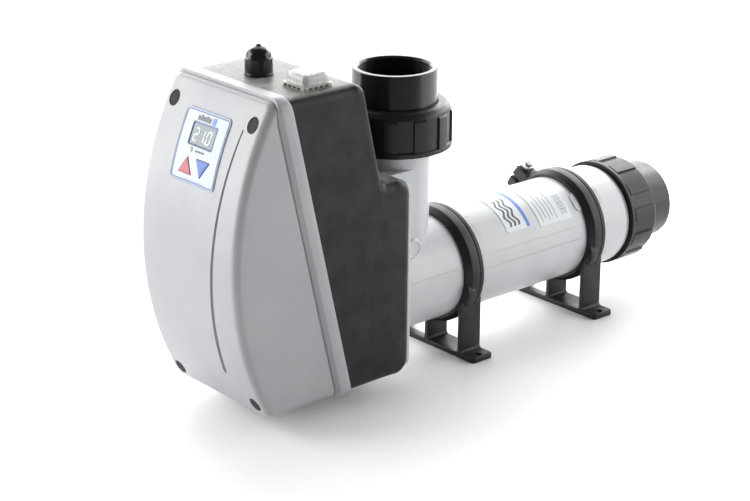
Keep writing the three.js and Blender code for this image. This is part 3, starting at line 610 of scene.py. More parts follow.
def labelSheet():
    # the label's outline as rings shrinking to its middle on both faces, so that it follows the arc
    size = labelSize
    centre = np.array([size["middle"], (size["foot"] + size["top"]) / 2])
    line = frameLine(0, size["corner"])
    rings = [faceRing(line, centre, share, size["under"]) for share in np.linspace(0, 1, 12)]
    rings += [faceRing(line, centre, share, size["face"]) for share in np.linspace(1, 0, 12)]
    return gridFaces(np.array(rings))


def border(inset, width, corner):
    # a printed line of one width that follows the label's outline
    outer, inner = frameLine(inset, corner), frameLine(inset + width, corner - width)
    return faceBand(outer, inner, printLift["low"], printLift["high"])


def bar(x0, x1, z0, z1, low=printLift["low"], high=printLift["high"], corner=0.3):
    return faceSheet(roundedBox((x0, z0), (x1, z1), corner, 3), low, high)


def barRow(count, x, pitch, wide, low, high, step=0.0):
    # bars side by side, every second one taller by a step
    return [bar(x + pitch * k, x + pitch * k + wide, low, high + step * (k % 2)) for k in range(count)]


label = shapeOf("label_sheet", [labelSheet()])
carve(label, [faceTool(lensWindow, 3, 3), *keyTools, lampTool])
finishPiece(label, finishes["labelFilm"], "label", "base", "control_label")

lensFrame = roundedBox(lensLow - 1.3, lensHigh + 1.3, 1.8)
panelBorders = [border(0.3, 0.4, 3.7), border(1.5, 0.8, 3.0), faceBand(lensFrame, lensWindow, 0.6, 0.9)]
makePiece("panel_border_print", panelBorders, finishes["printBlue"], "blue_key", "base")
top = labelSize["top"]
heading = barRow(5, -13.4, 3.5, 2.9, top - 8.2, top - 4.7, 0.9)
lampWord = barRow(5, -5.0, 2.4, 1.7, 235.0, 236.6)
makePiece("panel_dark_print", heading + lampWord, finishes["printDark"], "black_part", "base")
drop = bar(5.4, 10.0, top - 8.8, top - 3.4, corner=1.2)
makePiece("panel_drop_print", [drop], finishes["printBrightBlue"], "blue_key", "base")
footWord = barRow(6, -11.0, 4.0, 2.8, 212.6, 213.3)
makePiece("panel_foot_print", footWord, finishes["printGrey"], "black_part", "base")

keyRings = [(1.0, -4.0), (1.0, 0.75), (0.985, 0.95), (0.94, 1.1), (0.8, 1.2), (0.4, 1.25)]  # share and lift
for node, (pointsUp, finish, slot, body) in keys.items():
    line = keyOutline(node, pointsUp, 0.0)
    rings = [faceRing(line, line.mean(0), share, lift) for share, lift in keyRings]
    makePiece(node + "_cap", [capped(np.array(rings))], finishes[finish], slot, body, node)

glass = faceSheet(roundedBox(lensLow, lensHigh, 1.0), -1.2, 0.35)
makePiece("display_glass", [glass], finishes["lcdGlass"], "lens", "base", "display_lens")

digitSize = {"wide": 4.6, "high": 9.6, "stroke": 1.15, "slant": 0.12, "pitch": 7.9, "left": 11.2,
             "below": 5.2, "low": 0.34, "lift": 0.46}
segments = {"top": ((0, 1), (1, 1)), "middle": ((0, 0.5), (1, 0.5)), "bottom": ((0, 0), (1, 0)),
            "upperLeft": ((0, 0.5), (0, 1)), "upperRight": ((1, 0.5), (1, 1)),
            "lowerLeft": ((0, 0), (0, 0.5)), "lowerRight": ((1, 0), (1, 0.5))}
digits = {"2": ("top", "upperRight", "middle", "lowerLeft", "bottom"), "1": ("upperRight", "lowerRight"),
          "0": ("top", "upperLeft", "upperRight", "lowerLeft", "lowerRight", "bottom")}


def strokePart(start, end, x, z):
    # one straight bar of a seven-segment figure, pointed at both ends
    size = digitSize
    ends = np.array([start, end]) * [size["wide"], size["high"]]
    run = (ends[1] - ends[0]) / np.linalg.norm(ends[1] - ends[0])
    side = np.array([-run[1], run[0]]) * size["stroke"] / 2
    shrink = run * size["stroke"] * 0.55
    line = np.array([ends[0] + shrink * 0.4, ends[0] + shrink + side, ends[1] - shrink + side,
                     ends[1] - shrink * 0.4, ends[1] - shrink - side, ends[0] + shrink - side])
    line[:, 0] += line[:, 1] * size["slant"]
    return faceSheet(line + [x, z], size["low"], size["lift"])


lensMid = (lensLow + lensHigh) / 2
figure = []
for k, digit in enumerate("210"):
    x = lensMid[0] - digitSize["left"] + digitSize["pitch"] * k + (0.4 if k == 2 else 0)
    figure += [strokePart(*segments[name], x, lensMid[1] - digitSize["below"]) for name in digits[digit]]
figure.append(bar(lensMid[0] + 3.3, lensMid[0] + 4.5, lensMid[1] - 5.4, lensMid[1] - 4.2, digitSize["low"],
                  digitSize["lift"]))
makePiece("display_figures", figure, finishes["lcdDigit"], "lens", "base")

lampRings = [(1, -3), (1, 0.6), (0.8, 1.0), (0.4, 1.25)]  # share and lift
lampDome = np.array([faceRing(circle(lampAt, 1.6, 32), lampAt, share, lift) for share, lift in lampRings])
makePiece("status_lens", [capped(lampDome)], finishes["lampAmber"], "lamp", "base", "status_lamp")

# radius and lift
plugRings = [(6.0, -3.6), (6.0, -0.9), (5.8, -0.6), (5.2, -0.45), (3.0, -0.35), (0.0, -0.3)]
for name, centre in plugs.items():
    unit = circle(centre, 1.0, plugSize["sides"])
    rings = [faceRing(unit, centre, radius, lift) for radius, lift in plugRings]
    points, faces = gridFaces(np.array(rings))
    faces.append(list(range(plugSize["sides"])))
    makePiece("plug_" + name, [(points, faces)], finishes["epdmRubber"], "black_part", "base",
              "screw_plug_" + name)
print("control panel done")

# ---------- rear housing ----------

houseSize = {"half": 66.0, "back": 40.6, "upperLean": 0.236, "shelf": 195.5, "slopeFoot": -71.0,
             "wall": 3.0, "under": 4.0, "topEdge": 9.5, "shelfEdge": 11.5, "backEdge": 4.5,
             "bottomCorner": 13.0, "shelfCorner": 13.5, "stepCorner": 9.0, "topCorner": 11.0}
houseLow, houseHigh = boxOf("rear_housing")
originY = houseHigh[1] + houseSize["back"]  # the riser's axis along Y


def housingLine(thickness):
    # the side outline (along Y from the riser's axis, up), open at the front, one thickness inside the skin
    size = houseSize
    low, high = houseLow[2] + thickness, houseHigh[2] - thickness
    shelf, back = size["shelf"] - thickness, -size["back"] - thickness
    topY = size["slopeFoot"] - size["upperLean"] * (houseHigh[2] - size["shelf"])
    foot, head = (partingY(z) - size["under"] - originY for z in (low, high))
    corners = [(foot, low, 0), (back, low, size["bottomCorner"] - thickness),
               (back, shelf, size["shelfCorner"] - thickness),
               (size["slopeFoot"] - thickness, shelf, size["stepCorner"] + thickness),
               (topY - thickness, high, size["topCorner"] - thickness), (head, high, 0)]
    return refined(roundedLine(corners, 12, closed=False), 4, closed=False)


def housingGrid(thickness):
    # the side outline carried across, drawn in towards each side by a quarter circle whose radius is broad on
    # the top and the shelf and tight down the sloping back; the inner skin lies one wall further in
    size = houseSize
    line = housingLine(thickness)
    half = size["half"] - thickness
    step = np.gradient(line, axis=0)
    step /= np.linalg.norm(step, axis=1, keepdims=True)
    normal = np.stack([step[:, 1], -step[:, 0]], -1)  # away from the box
    up = line[:, 1]
    radius = np.full(len(line), size["backEdge"])
    nearEnds = (up > houseHigh[2] - thickness - 15) | (up < houseLow[2] + thickness + 15)
    radius[(np.abs(normal[:, 1]) > 0.9) & nearEnds] = size["topEdge"]
    radius[(normal[:, 1] > 0.75) & (np.abs(up - size["shelf"] + thickness) < 9)] = size["shelfEdge"]
    radius = np.convolve(np.pad(radius, 5, mode="edge"), np.ones(11) / 11, "valid")
    radius = np.maximum(radius - thickness, 1.5)
    turn = np.linspace(0, math.pi / 2, 9)
    rows = [(radius * (1 - math.sin(a)), radius * (1 - math.cos(a)) - half) for a in turn]
    rows += [(0 * radius, m * (half - radius)) for m in np.linspace(-1, 1, 11)[1:-1]]
    rows += [(radius * (1 - math.sin(a)), half - radius * (1 - math.cos(a))) for a in turn[::-1]]
    grid = []
    for inset, x in rows:
        yz = line - normal * inset[:, None]
        points = np.stack([x, yz[:, 0] + originY, yz[:, 1]], -1)
        for end in (0, -1):
            points[end, 1] = partingY(points[end, 2]) - size["under"]
        grid.append(points)
    return np.array(grid)


def housingShell():
    # an outer and an inner skin, joined round the open front
    points, faces, mouths = [], [], []
    for thickness in (0.0, houseSize["wall"]):
        grid = housingGrid(thickness)
        start = sum(len(p) for p in points)
        skin, quads = gridFaces(grid, closeColumns=False)
        index = np.arange(len(skin)).reshape(grid.shape[:2]) + start
        points.append(skin)
        faces += [[i + start for i in quad] for quad in quads] + [index[0].tolist(), index[-1].tolist()]
        mouths.append(index[:, 0].tolist() + index[::-1, -1].tolist())
    outer, inner = mouths
    for k, here in enumerate(outer):
        ahead = (k + 1) % len(outer)
        faces.append([here, outer[ahead], inner[ahead], inner[k]])
    return np.vstack(points), faces


housing = shapeOf("housing_shell", [housingShell()])
axisX, axisZ = middle("rear_union_sleeve")[[0, 2]]
switchMid, capMid, glandMid = middle("switch_frame"), middle("reset_cap"), middle("cable_gland")
roof, back, side = houseHigh[2], houseHigh[1], houseLow[0]
carve(housing, [
    plate(roundedBox(switchMid[:2] - 11.5, switchMid[:2] + 11.5, 0.5, 2), "z", roof - 8, roof + 5, 0.2),
    plate(circle((0, 0), 7.3, 40), "z", roof - 8, roof + 5, 0.2, (capMid[0], capMid[1], 0)),
    plate(circle((0, 0), 10.3, 40), "x", side - 9, side + 8, 0.2, (0, glandMid[1], glandMid[2])),
    plate(circle((0, 0), 47, 64), "y", back - 8, back + 5, 0.2, (axisX, 0, axisZ)),
])
finishPiece(housing, finishes["charcoalPolypropylene"], "black_shell", "base", "rear_housing", sharp=30)
print("housing:", len(housing.data.polygons), "faces")

# ---------- water tank ----------

tankSize = {"radius": 48.0, "bore": 43.0, "riser": 31.5, "riserBore": 27.5, "spigot": 40.0, "outlet": 32.5,
            "saddleHalf": 31.4, "saddleTop": 186.0, "bead": 2.2, "flangeHalf": 64.0, "flangeFoot": 20.0,
            "flangeTop": 189.0, "flangeCorner": 10.0, "flangeThick": 3.5, "bossZ": 118.0, "bossAhead": 14.0,
            "bossReach": 43.8, "bossRadius": 9.2}
tankLow, tankHigh = boxOf("tank_body")
flangeY = tankLow[1]
tankEnd = boxOf("rear_union_nut")[0][1]
riserEnd = boxOf("top_union_nut")[0][2]
axis = (axisX, 0, axisZ)
riserAxis = (0, middle("top_union_sleeve")[1], 0)


def tankWall():
    # the tube turned round its axis, stepped at the rear for the spigot
    wide, spigot = tankSize["radius"], tankSize["spigot"]
    line = [(0, flangeY + 1, 0), (wide, flangeY + 1, 0), (wide, tankEnd - 5.3, 1.2),
            (wide - 1.6, tankEnd - 5.2, 0.2), (wide - 1.8, tankEnd - 0.8, 0.5), (spigot, tankEnd - 0.6, 0.3),
            (spigot, tankHigh[1], 0.6), (0, tankHigh[1], 0)]
    return turned(roundedLine(line, 5, False), "y", axis, 128, closed=False)


def tankRiser():
    # the upright pipe turned round its own axis, with its spigot on top
    wide, spigot = tankSize["riser"], tankSize["spigot"]
    line = [(0, axisZ, 0), (wide, axisZ, 0), (wide, riserEnd + 0.5, 1), (spigot, riserEnd + 0.8, 0.4),
            (spigot, tankHigh[2], 0.6), (0, tankHigh[2], 0)]
    return turned(roundedLine(line, 4, False), "z", riserAxis, 96, closed=False)


def tankBead():
    # a fillet round the riser's foot whose radius falls off as the square of the height still to climb
    half = tankSize["saddleHalf"]
    rise = [(half + tankSize["bead"] * (1 - t) ** 2, axisZ + 26 + 26 * t) for t in np.linspace(0, 1, 9)]
    return turned([(0, axisZ)] + rise + [(0, axisZ + 52)], "z", riserAxis, 96, closed=False)


def tankBoss():
    # a round boss with a shallow cup in its end, on the riser's side
    wide, reach = tankSize["bossRadius"], tankSize["bossReach"]
    line = [(0, 12, 0), (wide, 12, 0), (wide - 0.2, reach, 1.4), (wide - 3, reach, 0.5),
            (wide - 3.3, reach - 0.6, 0.4), (0, reach - 0.6, 0)]
    centre = (0, riserAxis[1] - tankSize["bossAhead"], tankSize["bossZ"])
    return turned(roundedLine(line, 5, False), "x", centre, 64, closed=False)


def tankBores():
    # the water space of the tank with its outlet, and that of the riser
    wide, outlet, riser = tankSize["bore"], tankSize["outlet"], tankSize["riserBore"]
    along = [(0, flangeY - 4), (wide, flangeY - 4), (wide, tankEnd - 8), (outlet, tankEnd - 7),
             (outlet, tankHigh[1] + 5), (0, tankHigh[1] + 5)]
    up = [(0, axisZ), (riser, axisZ), (riser, tankHigh[2] + 5), (0, tankHigh[2] + 5)]
    return turned(along, "y", axis, 96, closed=False), turned(up, "z", riserAxis, 72, closed=False)


half = tankSize["saddleHalf"]
saddleLine = roundedBox((-half, flangeY + 1), (half, riserAxis[1]), 1, 3)
saddle = plate(saddleLine, "z", axisZ + 25, tankSize["saddleTop"], 0.8)
wide, flangeCorner = tankSize["flangeHalf"], tankSize["flangeCorner"]
flangeLine = roundedBox((-wide, tankSize["flangeFoot"]), (wide, tankSize["flangeTop"]), flangeCorner, 10)
flange = plate(flangeLine, "y", flangeY, flangeY + tankSize["flangeThick"], 0.7)
tank = fused("tank_moulding", [tankWall(), tankRiser(), saddle, tankBead(), flange, tankBoss()])
for bore in tankBores():
    carve(tank, [bore])
finishPiece(tank, finishes["whitePipePvc"], "tank_plastic", "base", "tank_body", sharp=30)
print("tank:", len(tank.data.polygons), "faces")

labelLift = {"under": 0.12, "face": 0.42, "ink": 0.5, "thinInk": 0.49, "lineInk": 0.48}


def tankPoints(y, angle, lift):
    # points of a drawing (along the tank, angle in degrees from +X) laid on the tank's wall, lifted off it
    a = np.radians(angle)
    radius = tankSize["radius"] + lift
    return np.stack([axisX + radius * np.cos(a), y, axisZ + radius * np.sin(a)], -1)


def tankPatch(y0, y1, a0, a1, low, high, corner=1.5):
    # a rounded rectangle as rings shrinking to its middle on both faces, wrapped on the tank
    degrees = 180 / math.pi / tankSize["radius"]  # for one millimetre round the wall
    half = np.array([(y1 - y0) / 2, (a1 - a0) / 2 / degrees])
    line = refined(roundedBox(-half, half, corner, 5), 3)
    shares = np.linspace(0, 1, max(3, int(half[1] / 2.5)))
    rings = []
    for lift, order in ((low, shares), (high, shares[::-1])):
        rings += [tankPoints((y0 + y1) / 2 + line[:, 0] * s, (a0 + a1) / 2 + line[:, 1] * s * degrees, lift)
                  for s in order]
    return gridFaces(np.array(rings))


def tankMark(y0, y1, a0, a1, rise, corner=0.3):
    return tankPatch(y0, y1, a0, a1, -0.6, rise, corner)


def waveBand(y, start, end, swing, width):
    # a strip along a sine line with one wave in every 16 degrees, wrapped on the tank
    angle = np.linspace(start, end, 60)
    centre = y + swing * np.sin(np.radians((angle - start) * 360 / 16))
    face, ink = labelLift["face"], labelLift["ink"]
    edges = [tankPoints(centre + side * width / 2, angle, lift)
             for side, lift in ((-1, face), (-1, ink), (1, ink), (1, face))]
    return capped(np.stack(edges, 1))


frontLow, frontHigh = (corner[1] for corner in boxOf("brand_panel"))
specLow, specHigh = (corner[1] for corner in boxOf("spec_panel"))
under, face = labelLift["under"], labelLift["face"]
frontLabel = tankPatch(frontLow, frontHigh, 33.5, 97, under, face)
makePiece("front_label", [frontLabel], finishes["paperLabel"], "label", "base", "brand_panel")
specLabel = tankPatch(specLow, specHigh, 29.5, 88, under, face)
makePiece("spec_label", [specLabel], finishes["paperLabel"], "label", "base", "spec_panel")
labelBar = tankPatch(frontHigh - 4.6, frontHigh - 0.6, 34, 96, face, labelLift["ink"])
makePiece("front_label_bar", [labelBar], finishes["printBrightBlue"], "blue_key", "base")
waves = [waveBand(frontLow + 6.5 + 5.2 * k, 39, 78, 1.6, 2.4) for k in range(3)]
makePiece("front_label_waves", waves, finishes["printDark"], "black_part", "base")

# start and width of each bar of the code, in degrees round the tank
barCode = [(36.0, 0.5), (37.6, 0.9), (39.6, 0.5), (41.2, 1.3), (43.6, 0.5), (45.2, 0.9), (47.4, 0.5),
           (49.0, 1.3), (51.6, 0.7), (53.4, 0.5), (55.0, 1.1), (57.6, 0.5), (59.2, 0.9)]
codeInk, lineInk = labelLift["thinInk"], labelLift["lineInk"]
specPrint = [tankPatch(specHigh - 11.5, specHigh - 3.5, start, start + width, face, codeInk, 0.1)
             for start, width in barCode]
for k in range(5):
    y = specLow + 4.5 + 4.6 * k
    start, end = 34 + 3 * (k % 2), 62 + 5 * ((k * 2) % 3)
    specPrint.append(tankPatch(y, y + 1.1, start, end, face, lineInk, 0.3))
makePiece("spec_label_print", specPrint, finishes["printGrey"], "black_part", "base")

frontClamp, rearClamp = middle("front_foot")[1], middle("rear_foot")[1]
# moulded stops for the clamps, and the long flash lines that the mould leaves
clampStops = [tankMark(frontClamp + 9, frontClamp + 19, 34, 56, 0.9, 4.5),
              tankMark(rearClamp - 19, rearClamp - 9, 34, 56, 0.9, 4.5),
              tankMark(rearClamp + 9, rearClamp + 17, 34, 56, 0.9, 3.6)]
makePiece("clamp_stops", clampStops, finishes["whitePipePvc"], "tank_plastic", "base", sharp=40)
flashLines = [tankMark(frontClamp + 9, rearClamp - 9, 17.4, 18.2, 0.4, 0.1),
              tankMark(frontClamp + 9, rearClamp - 9, 2.8, 3.6, 0.35, 0.1),
              tankMark(flangeY + 5, frontClamp - 9, 11.8, 12.6, 0.4, 0.1)]
makePiece("mould_lines", flashLines, finishes["whitePipePvc"], "tank_plastic", "base", sharp=40)
# short grey dashes on the tank near the clamps
greyTankDashes = [tankMark(frontClamp + 11, frontClamp + 19, 66, 67.0, 0.08, 0.2),
                tankMark(rearClamp + 10, rearClamp + 16, 22, 22.9, 0.08, 0.2),
                tankMark(frontClamp + 12, frontClamp + 17, -12, -11.2, 0.08, 0.2)]
makePiece("grey_tank_dashes", greyTankDashes, finishes["printGrey"], "black_part", "base")
print("labels done")

# ---------- pipe unions ----------

unionSize = {"body": 49.0, "rib": 50.7, "ribs": 12, "ribWide": 14.0, "bore": 40.4, "lip": 38.0,
             "height": 39.0, "step": 29.7, "socket": 31.65, "sleeve": 37.5, "mouth": 33.0, "length": 69.0,
             "spigotBore": 28.0}


def unionNut(axisName, centre, base, turnDeg):
    # a turned nut whose outside radius rises between two angles of every twelfth of a turn
    size = unionSize
    bore, lip, rib, body = size["bore"], size["lip"], size["rib"], size["body"]
    line = [(bore, 0, 0.6), (rib, 0, 0.7), (rib - 0.1, 4.2, 0.5), (body + 0.1, 5.0, 0.5), (body, 34, 3.6),
            (45.0, size["height"], 3.0), (lip, size["height"], 0.7), (lip, size["step"], 0.4),
            (bore, size["step"], 0.4)]
    profile = refined(roundedLine(line, 5), 1.6)
    wide = size["ribWide"]
    offsets = np.array([-0.25, 0.25, 0.6, 3.5, 7.0, 10.5, wide - 0.6, wide - 0.25, wide + 0.25, 17.5, 20.5,
                        23.5, 26.5])
    angle = (360 / size["ribs"] * np.arange(size["ribs"])[:, None] + offsets[None]).ravel() + turnDeg
    local = np.tile(offsets, size["ribs"])
    onRib = ((local > 0) & (local < wide)).astype(float)
    r, h = profile[:, 0], profile[:, 1]
    rise = np.clip((32.2 - h) / 0.8, 0, 1) * ((r > 44) & (h > 4.7))
    radius = r[:, None] + rise[:, None] * onRib[None] * (rib - body)
    a = np.radians(angle)
    across = radius[..., None] * np.stack([np.cos(a), np.sin(a)], -1)[None]
    grid = onAxis(across, base + h[:, None] * np.ones(len(a)), axisName, centre)
    return gridFaces(grid, closeRows=True)


def unionSleeve(axisName, centre, base):
    # a flanged socket with shallow turning rings near its mouth
    size = unionSize
    socket, bore, sleeve = size["socket"], size["spigotBore"], size["sleeve"]
    rings = []
    for k in range(5):
        at = 66.3 - 2.3 * k
        rings += [(socket, at + 0.5, 0), (socket + 0.25, at + 0.25, 0), (socket, at, 0)]
    line = [(bore, 25.4, 0.3), (39.8, 25.4, 0.4), (39.8, 29.3, 0.5), (sleeve, 29.3, 0.3),
            (sleeve, size["length"], 0.7), (size["mouth"], size["length"], 0.35), (socket, 67.4, 0.2)]
    line += rings + [(socket, 37, 0.3), (bore, 37, 0.4)]
    return turned(roundedLine(line, 4) + [0, base], axisName, centre, 128)


topCentre = (riserAxis[0], riserAxis[1], 0)
satinBlack, glossBlack = finishes["satinBlackPvc"], finishes["glossBlackPvc"]
makePiece("top_nut_turning", [unionNut("z", topCentre, riserEnd, 8)], satinBlack, "black_part", "top_nut",
          "top_union_nut", sharp=26)
makePiece("rear_nut_turning", [unionNut("y", axis, tankEnd, 3)], satinBlack, "black_part", "rear_nut",
          "rear_union_nut", sharp=26)
makePiece("top_socket", [unionSleeve("z", topCentre, riserEnd)], glossBlack, "gloss_black", "base",
          "top_union_sleeve")
makePiece("rear_socket", [unionSleeve("y", axis, tankEnd)], satinBlack, "gloss_black", "base",
          "rear_union_sleeve")
print("unions done")

# ---------- clamp feet ----------

clampSize = {"inner": 48.3, "outer": 54.25, "depth": 20.5, "footDepth": 24.6, "split": 145.5, "base": 5.0,
             "legX": 43.7, "legHalf": 1.9, "hole": 57.2, "holeRadius": 2.9}


def clampSection():
    # distance along the tank and radius: a broad bevel to the front, a flat crown, a fine groove, a rear bead
    inner, outer, depth = clampSize["inner"], clampSize["outer"], clampSize["depth"]
    return roundedLine([(0, inner, 0.2), (0.2, 50.6, 0.8), (5.6, outer, 1.6), (14.2, outer, 0.3),
                        (14.7, 53.5, 0.2), (15.3, 53.5, 0.2), (15.9, 54.0, 0.4), (19.6, 54.0, 0.8),
                        (depth, 52.6, 0.5), (depth, inner, 0.2)], 4)


def clampBand(front, start, end):
    # the section carried round the tank's axis between two angles
    section = clampSection()
    a = np.radians(np.linspace(start, end, 72))[:, None]
    grid = np.stack([axisX + section[None, :, 1] * np.cos(a), front + section[None, :, 0] + 0 * a,
                     axisZ + section[None, :, 1] * np.sin(a)], -1)
    return capped(grid)


def splitFrame(points, yMid):
    # local (along the bolt, outward, along the tank) to x, y, z at the clamp's split
    a = math.radians(clampSize["split"])
    along = np.array([math.sin(a), 0, -math.cos(a)])
    out = np.array([math.cos(a), 0, math.sin(a)])
    return (points[:, :1] * along + points[:, 1:2] * out + points[:, 2:] * np.array([0, 1.0, 0])
            + np.array([axisX, yMid, axisZ]))


def lug(sign, yMid):
    # a tapered ear that the bolt passes through
    line = [(1.8, 50.0, 0.9), (14.5, 51.0, 0.9), (13.0, 60.5, 1.5), (12.6, 66.4, 1.8), (1.8, 67.1, 1.0)]
    points, faces = plate(roundedLine([(sign * u, v, radius) for u, v, radius in line], 5), "z", -8, 8, 0.8)
    return splitFrame(points, yMid), faces


def lugRibs(sign, yMid):
    # three fine ribs across the ear's outer end
    rib = roundedBox((0, -7.2), (1.1, 7.2), 0.35, 3)
    parts = []
    for k in range(3):
        points, faces = plate(rib + [2.6 + 3.4 * k, 0], "z", 66.4, 67.9, 0.3)
        local = np.stack([sign * points[:, 0], points[:, 2], points[:, 1]], -1)
        parts.append((splitFrame(local, yMid), faces))
    return parts


def legOutline(x, half, top):
    # an upright strip that flares into the base by a small round on each side
    foot = clampSize["base"]
    left = arc((x - half - 3, foot + 2.8), 3.0, -90, 0, 7)
    right = arc((x + half + 3, foot + 2.8), 3.0, 180, 270, 7)
    return np.vstack([[(x - half - 3, foot - 1)], left, [(x - half, top), (x + half, top)], right,
                      [(x + half + 3, foot - 1)]])


def basePlate(x0, x1, depth, roundEnds, front, hole=None):
    # a flat bar on the floor with soft rims; a screw hole through it where one is named
    first, last = (3.6 if end else 0.9 for end in roundEnds)
    line = roundedLine([(x0, 0, first), (x1, 0, last), (x1, depth, last), (x0, depth, first)], 6)
    line = line + [0, front]
    base = shapeOf("base_bar", [plate(line, "z", 0, clampSize["base"], 0.8)])
    if hole is not None:
        drill = circle((hole, front + depth / 2), clampSize["holeRadius"], 32)
        carve(base, [plate(drill, "z", -3, 12, 0.1)])
    return base


def footParts(front):
    # one ear and three legs as closed parts, and the three bars of the base as shapes of their own
    depth, x, half, hole = (clampSize[k] for k in ("footDepth", "legX", "legHalf", "hole"))
    parts = [lug(-1, front + clampSize["depth"] / 2)]
    for at, thin, top in ((x, half, 54.0), (0.2, 2.0, 29.0), (-x, half, 54.0)):
        parts.append(plate(legOutline(at, thin, top), "y", front, front + depth, 0.3))
    return parts, [basePlate(-1.8, 63, depth, (False, True), front, hole),
                   basePlate(-46, 0, 9, (False, False), front),
                   basePlate(-63, -41, depth, (True, False), front, -hole)]


def clasp(front):
    # the thickened nose where the strap hooks over the leg's top, on the front half of its width
    outline = roundedLine([(44.9, 55.6, 0.8), (52.9, 55.3, 1.0), (54.9, 60.5, 1.6), (54.2, 66.5, 2.0),
                           (52.2, 71.5, 1.0), (47.2, 72, 0.8)], 5)
    return plate(outline, "y", front + 0.4, front + 9.5, 0.7)


for name in ("front", "rear"):
    front = boxOf(name + "_foot")[0][1]
    yMid = front + clampSize["depth"] / 2
    loose, bars = footParts(front)
    foot = fused(name + "_foot_moulding", [clampBand(front, 147.4, 338)] + loose)
    inner = clampSize["inner"]
    tubeLine = [(0, front - 5), (inner, front - 5), (inner, front + 32), (0, front + 32)]
    carve(foot, [turned(tubeLine, "y", axis, 128, closed=False)])
    for base in bars:
        combine(foot, base, "UNION")
    finishPiece(foot, finishes["mattBlackNylon"], "black_part", "base", name + "_foot", sharp=30)
    strapParts = [clampBand(front, -24.5, 143.6), lug(1, yMid), clasp(front)] + lugRibs(1, yMid)
    strap = fused(name + "_strap_moulding", strapParts)
    finishPiece(strap, finishes["mattBlackNylon"], "black_part", "base", name + "_clamp_strap", sharp=30)
print("feet done")

# ---------- top of the box ----------

def capTurning():
    # ribbed skirt, stepped shoulder, dome as part of an ellipse, and a small nipple, turned round one axis
    skirt = [(7.8, 0.3, 0.3), (12.0, 0.3, 0.3), (12.0, 1.7, 0.3), (11.75, 2.1, 0.2), (11.7, 13.4, 0.2),
             (12.0, 13.9, 0.2), (12.0, 14.6, 0.3), (10.8, 14.9, 0.2), (10.7, 15.8, 0.4)]
    dome = [(10.7 * math.cos(a), 15.6 + 8.6 * math.sin(a), 0) for a in np.radians(np.linspace(8, 76, 12))]
    nipple = [(2.2, 24.3, 0.3), (1.9, 25.5, 0.4), (0, 25.8, 0)]
    inside = [(0, 18.6, 0), (6.2, 16.1, 0.8), (7.8, 13, 0.8)]
    profile = roundedLine(skirt + dome + nipple + inside, 4)
    profile = np.vstack([profile, profile[:1]]) + [0, roof]
    return turned(profile, "z", (capMid[0], capMid[1], 0), 96, closed=False)


makePiece("reset_cap_moulding", [capTurning()], glossBlack, "gloss_black", "cap", "reset_cap")


def softSquare(halfX, halfY, corner, steps=7):
    return roundedBox((-halfX, -halfY), (halfX, halfY), corner, steps)


def levelRing(line, share, rise):
    # an outline (x, y) drawn in by a share and raised to one level or to a level for each point
    return np.stack([line[:, 0] * share, line[:, 1] * share, 0 * line[:, 0] + rise], -1)


bootSize = {"halfX": 13.2, "halfY": 13.6, "corner": 4.2, "above": 3.5, "dimple": 1.1, "dimpleX": 3.0,
            "dimpleY": -4.0}
# share and rise of each ring, up the outside and down the inside
bootLevels = [(1.0, 0.0), (1.0, 0.6), (0.97, 1.2), (0.965, 4.2), (0.94, 6.2), (0.86, 7.9), (0.7, 8.8),
              (0.45, 9.1), (0.2, 9.2), (0.0, 9.2), (0.0, 7.9), (0.2, 7.9), (0.45, 7.8), (0.68, 7.4),
              (0.8, 6.6), (0.86, 5.0), (0.87, 1.0), (0.87, 0.0)]


def bootShell():
    # a soft square dome: each ring of the outline shrinks and rises, dimpled by a bell curve off its middle
    size = bootSize
    line = softSquare(size["halfX"], size["halfY"], size["corner"])
    rows = []
    for share, rise in bootLevels:
        x, y = line[:, 0] * share, line[:, 1] * share
        bell = np.exp(-((x - size["dimpleX"]) ** 2 / 40 + (y - size["dimpleY"]) ** 2 / 14))
        rows.append(levelRing(line, share, rise - size["dimple"] * bell * (rise > 6)))
    place = [switchMid[0], switchMid[1], roof + size["above"]]
    return gridFaces(np.array(rows) + place, closeRows=True)


makePiece("switch_boot_dome", [bootShell()], finishes["clearSilicone"], "clear_part", "base", "switch_boot",
          sharp=50)

bezelLevels = [(1.0, 0.0), (1.0, 0.9), (0.965, 1.1), (0.965, 1.6), (1.0, 1.8), (1.0, 2.7), (0.975, 3.1)]
bezelAt = np.array([switchMid[0], switchMid[1], roof + 0.2])


def bezel():
    # a flanged frame grooved round its edge, with a well that goes down into the box
    rows = [levelRing(softSquare(14.5, 15.0, 2.0), share, rise) for share, rise in bezelLevels]
    rows += [levelRing(softSquare(8.3, 9.7, 0.6), 1, rise) for rise in (3.1, -8.0)]
    rows += [levelRing(softSquare(11.0, 11.0, 0.8), 1, rise) for rise in (-8.0, 0.0)]
    return gridFaces(np.array(rows) + bezelAt, closeRows=True)


def bezelSlotShade():
    # painted shade: dark plates where small vents along the bezel's front and its right side lie in shadow
    slots = []
    for k in range(4):
        ahead = softSquare(1.6, 0.5, 0.2, 2) + bezelAt[:2] + [5.6 * k - 10.0, -14.9]
        beside = softSquare(0.5, 1.6, 0.2, 2) + bezelAt[:2] + [14.4, 5.6 * k - 8.5]
        slots += [plate(line, "z", bezelAt[2] + 0.4, bezelAt[2] + 2.4, 0.1) for line in (ahead, beside)]
    return slots


makePiece("switch_bezel", [bezel()], finishes["clearPolycarbonate"], "clear_part", "base", "switch_frame",
          sharp=25)
# painted shade of the vents, in the dark ink
makePiece("switch_bezel_slot_shade", bezelSlotShade(), finishes["printDark"], "black_part", "base")
print("box top done")

# ---------- CAD nodes that keep their shape ----------

